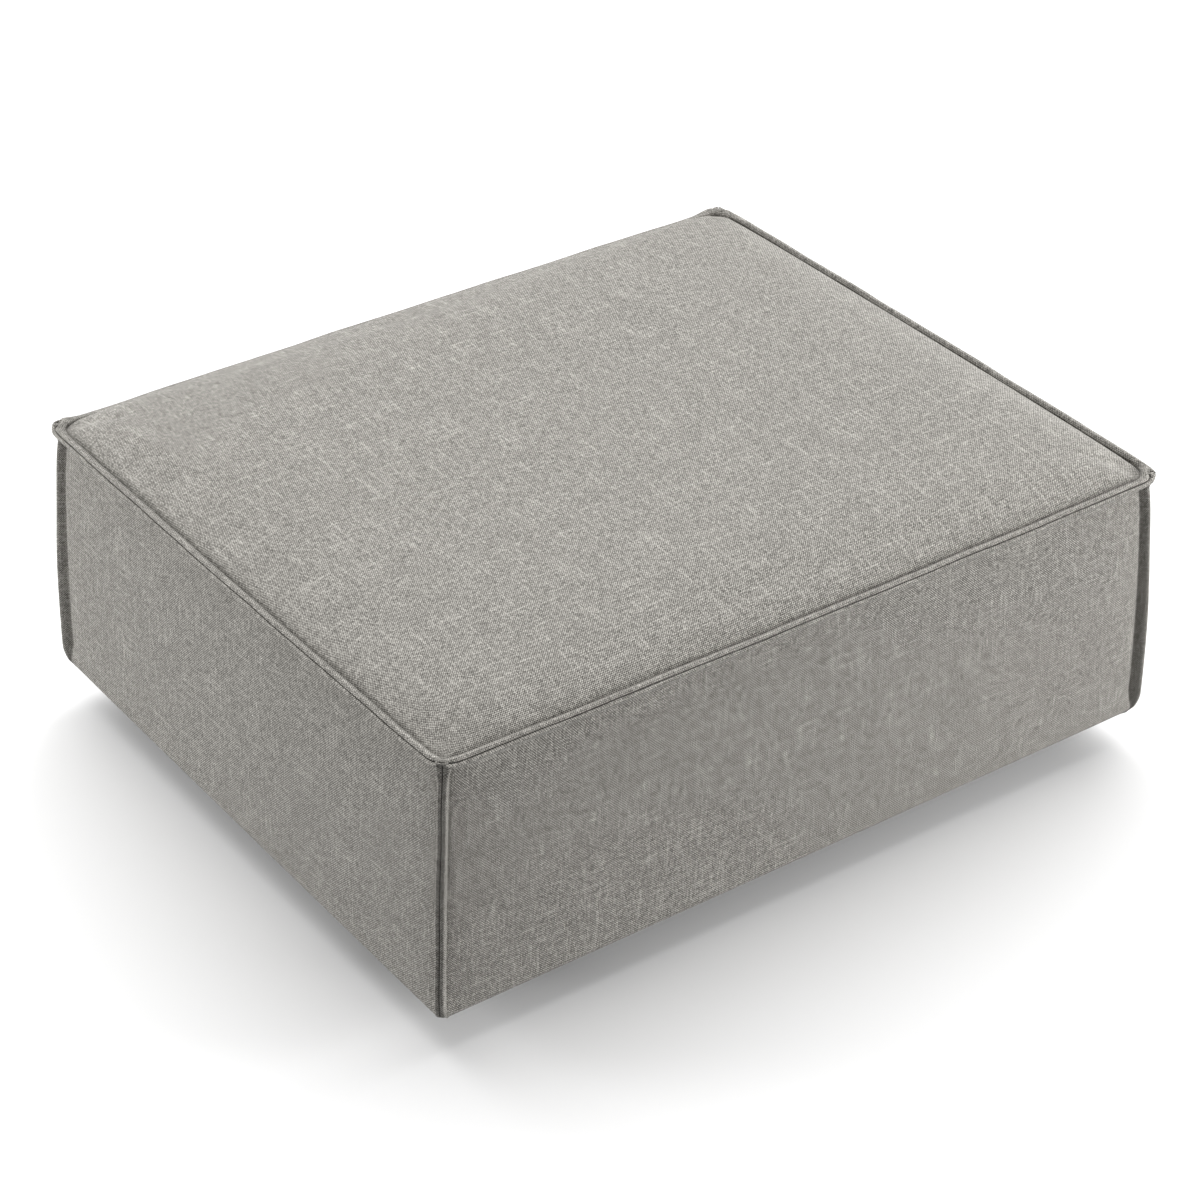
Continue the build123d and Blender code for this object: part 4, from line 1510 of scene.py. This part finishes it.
class OTTOMAN_OT_padding(bpy.types.Operator):
    """Make the seat foam, its fibre wrap, the side pads and the felt"""

    bl_idname = "ottoman.padding"
    bl_label = "Padding"

    def execute(self, context):
        foam = made_once("open_cell_foam", open_foam)
        core = finish_with(clean(make_foam_core()), foam)
        place_piece(core, ["seat_foam_core"])
        wrap = finish_with(clean(make_wadding()), made_once("fibre_wadding", fibre_wadding))
        place_piece(wrap, ["seat_wadding"])
        for side in SIDES:
            pad = finish_with(make_side_foam(side), foam)
            place_piece(pad, [f"{side}_side_foam"])
        felt = made_once("grey_felt", needled_felt, (0.16, 0.155, 0.15), (0.42, 0.41, 0.39))
        pad = finish_with(clean(make_felt()), felt)
        place_piece(pad, ["deck_felt"])
        return {"FINISHED"}


class OTTOMAN_OT_webbing(bpy.types.Operator):
    """Weave the elastic straps of the deck"""

    bl_idname = "ottoman.webbing"
    bl_label = "Webbing deck"

    def execute(self, context):
        sets = {
            "webbing_lengthwise": ([f"webbing_lengthwise_{n}" for n in range(1, 6)], 0),
            "webbing_crosswise": ([f"webbing_crosswise_{n}" for n in range(1, 7)], 1),
        }
        for name, (nodes, first_over) in sets.items():
            place_piece(make_webbing(f"{name}_straps", nodes, first_over), nodes)
        return {"FINISHED"}


class OTTOMAN_OT_underside(bpy.types.Operator):
    """Make the dust sheet with its hem and staples, and the felt glides"""

    bl_idname = "ottoman.underside"
    bl_label = "Underside"

    def execute(self, context):
        cloth = made_once("black_non_woven", non_woven)
        steel = made_once("zinc_plated_steel", zinc_steel)
        hem = place_piece(finish_with(make_hem(), cloth))
        low, high = SHEET_LOW, SHEET_HIGH
        inset = 0.012
        line = body_ring(high.x - inset, high.y - inset, 0.0, 0.006, low.z - 0.0004, 60)
        ups = np.tile((0.0, 0.0, 1.0), (len(line), 1))
        runs = [(line, ups, True)]
        staples = place_piece(
            repeat_on_path("underside_staples", runs, staple_unit(), 0.045, steel, 11, 0.10)
        )
        sheet = place_piece(finish_with(make_dust_sheet(), cloth), ["dust_cover"])
        felt = made_once("glide_felt", needled_felt, (0.07, 0.067, 0.063), (0.20, 0.19, 0.18))
        for corner in CORNERS:
            place_piece(finish_with(make_glide(corner), felt), ["foot_glides"])
        return {"FINISHED"}


class OTTOMAN_OT_frame(bpy.types.Operator):
    """Give the timber, board, steel and plastic solids their finishes"""

    bl_idname = "ottoman.frame"
    bl_label = "Frame and feet"

    def execute(self, context):
        timber = {d: made_once(f"planed_timber_{d.lower()}", planed_timber, d) for d in "XYZ"}
        plain = {
            "leg_block": made_once("birch_plywood", layered_plywood),
            "hardboard": made_once("brown_hardboard", pressed_board),
        }
        steel = made_once("zinc_plated_steel", zinc_steel)
        plain.update(dict.fromkeys(("foot_plates", "leg_nuts", "foot_studs"), steel))
        plastic = made_once("black_plastic", moulded_plastic)
        plain.update(dict.fromkeys(("foot_front", "foot_back"), plastic))
        for name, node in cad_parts.items():
            if node.hide_render:
                continue
            found = [material for part, material in plain.items() if part in name]
            if not found:
                low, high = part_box(name)
                span = high - low
                found = [timber["XYZ"[list(span).index(max(span))]]]
            finish_with(node, found[0])
        return {"FINISHED"}


def soft_light(name, kind, place, target, size, power):
    """A soft light that faces a target: an area light of a width, or a sun of an angle."""
    data = bpy.data.lights.new(name, kind)
    data.energy = power
    if kind == "AREA":
        data.shape, data.size = "DISK", size
    else:
        data.angle = size
    made = add_object(name, data)
    made.location = place
    made.rotation_euler = (Vector(target) - Vector(place)).to_track_quat("-Z", "Y").to_euler()


def studio_floor(name):
    """Pale, even floor."""
    base = tuple(colours().floor)
    f = Finish(name, base, 0.9, Specular_IOR_Level=0.0)
    cloud = f.noise(f.object_place(), 0.8, 2)
    low = tuple(0.985 * v for v in base)
    f.paint(f.mix(cloud, low, base))
    return f


def photo_camera():
    """The camera that the photo was taken with, fitted to the outline of the ottoman."""
    azimuth, elevation, roll = radians(-35.811), radians(33.267), radians(0.381)
    focal_pixels, picture_pixels, sensor = 3347.7, 1200, 36
    distance, middle, aside, below = 4.1419, 0.2355, 0.00293, 0.04707
    level = cos(elevation)
    back = Vector((sin(azimuth) * level, -cos(azimuth) * level, sin(elevation)))
    right = Vector((cos(azimuth), sin(azimuth), 0))
    up = back.cross(right)
    across, upward = cos(roll) * right + sin(roll) * up, cos(roll) * up - sin(roll) * right
    data = bpy.data.cameras.new("photo_camera")
    data.sensor_width, data.lens = sensor, sensor * focal_pixels / picture_pixels
    camera = add_object("photo_camera", data)
    place = Vector((0, 0, middle)) + back * distance + right * aside - up * below
    turn = Matrix((across, upward, back)).transposed()
    camera.matrix_world = Matrix.Translation(place) @ turn.to_4x4()
    return camera


class OTTOMAN_OT_stage(bpy.types.Operator):
    """Make the pale floor, the soft lights and the camera"""

    bl_idname = "ottoman.stage"
    bl_label = "Stage"

    def execute(self, context):
        scene = bpy.context.scene
        ring = [(x, y, 0) for x, y in circle(64, 14)]
        floor = add_mesh("studio_floor", ring, [tuple(range(64))], smooth=False)
        finish_with(floor, made_once("pale_floor", studio_floor))
        floor.visible_diffuse = False
        world = bpy.data.worlds.new("studio")
        world.use_nodes = True
        sky = world.node_tree.nodes["Background"]
        sky.inputs["Color"].default_value = (1, 1, 1, 1)
        sky.inputs["Strength"].default_value = 0.31
        scene.world = world
        soft_light("ceiling_light", "SUN", (1.5, 2.1, 4.0), (0, 0, 0), radians(80), 2.95)
        soft_light("back_light", "AREA", (1.2, 1.6, 2.2), (0, 0, 0.4), 1.2, 20)
        soft_light("left_light", "AREA", (-2.9, 1.9, 0.8), (0, 0, 0.2), 1.6, 84)
        soft_light("right_light", "AREA", (2.6, -2.6, 0.8), (0, 0, 0.2), 1.6, 126)
        scene.view_settings.view_transform = "Standard"
        scene.view_settings.look = "None"
        scene.camera = photo_camera()
        return {"FINISHED"}


class OTTOMAN_PT_panel(bpy.types.Panel):
    """Sidebar panel with the ottoman's sizes, colours and pieces"""

    bl_idname = "OTTOMAN_PT_panel"
    bl_label = "Modular ottoman"
    bl_space_type = "VIEW_3D"
    bl_region_type = "UI"
    bl_category = "Ottoman"

    def draw(self, context):
        layout = self.layout
        for group in (context.scene.ottoman_sizes, context.scene.ottoman_colours):
            box = layout.box()
            for name in group.bl_rna.properties.keys():
                if name not in ("rna_type", "name"):
                    box.prop(group, name)
        for operator in OPERATORS:
            layout.operator(operator.bl_idname)


OPERATORS = (
    OTTOMAN_OT_cover,
    OTTOMAN_OT_stitches,
    OTTOMAN_OT_padding,
    OTTOMAN_OT_webbing,
    OTTOMAN_OT_underside,
    OTTOMAN_OT_frame,
    OTTOMAN_OT_stage,
)
CLASSES = (OttomanSizes, OttomanColours, *OPERATORS, OTTOMAN_PT_panel)


def register():
    """Registers the classes and the two groups of settings."""
    for made in CLASSES:
        bpy.utils.register_class(made)
    bpy.types.Scene.ottoman_sizes = bpy.props.PointerProperty(type=OttomanSizes)
    bpy.types.Scene.ottoman_colours = bpy.props.PointerProperty(type=OttomanColours)


def unregister():
    """Takes the settings and the classes away again."""
    del bpy.types.Scene.ottoman_colours
    del bpy.types.Scene.ottoman_sizes
    for made in reversed(CLASSES):
        bpy.utils.unregister_class(made)


def main():
    """Builds every piece in order."""
    register()
    bpy.ops.ottoman.cover()
    bpy.ops.ottoman.stitches()
    bpy.ops.ottoman.padding()
    bpy.ops.ottoman.webbing()
    bpy.ops.ottoman.underside()
    bpy.ops.ottoman.frame()
    bpy.ops.ottoman.stage()


if __name__ == "__main__":
    main()
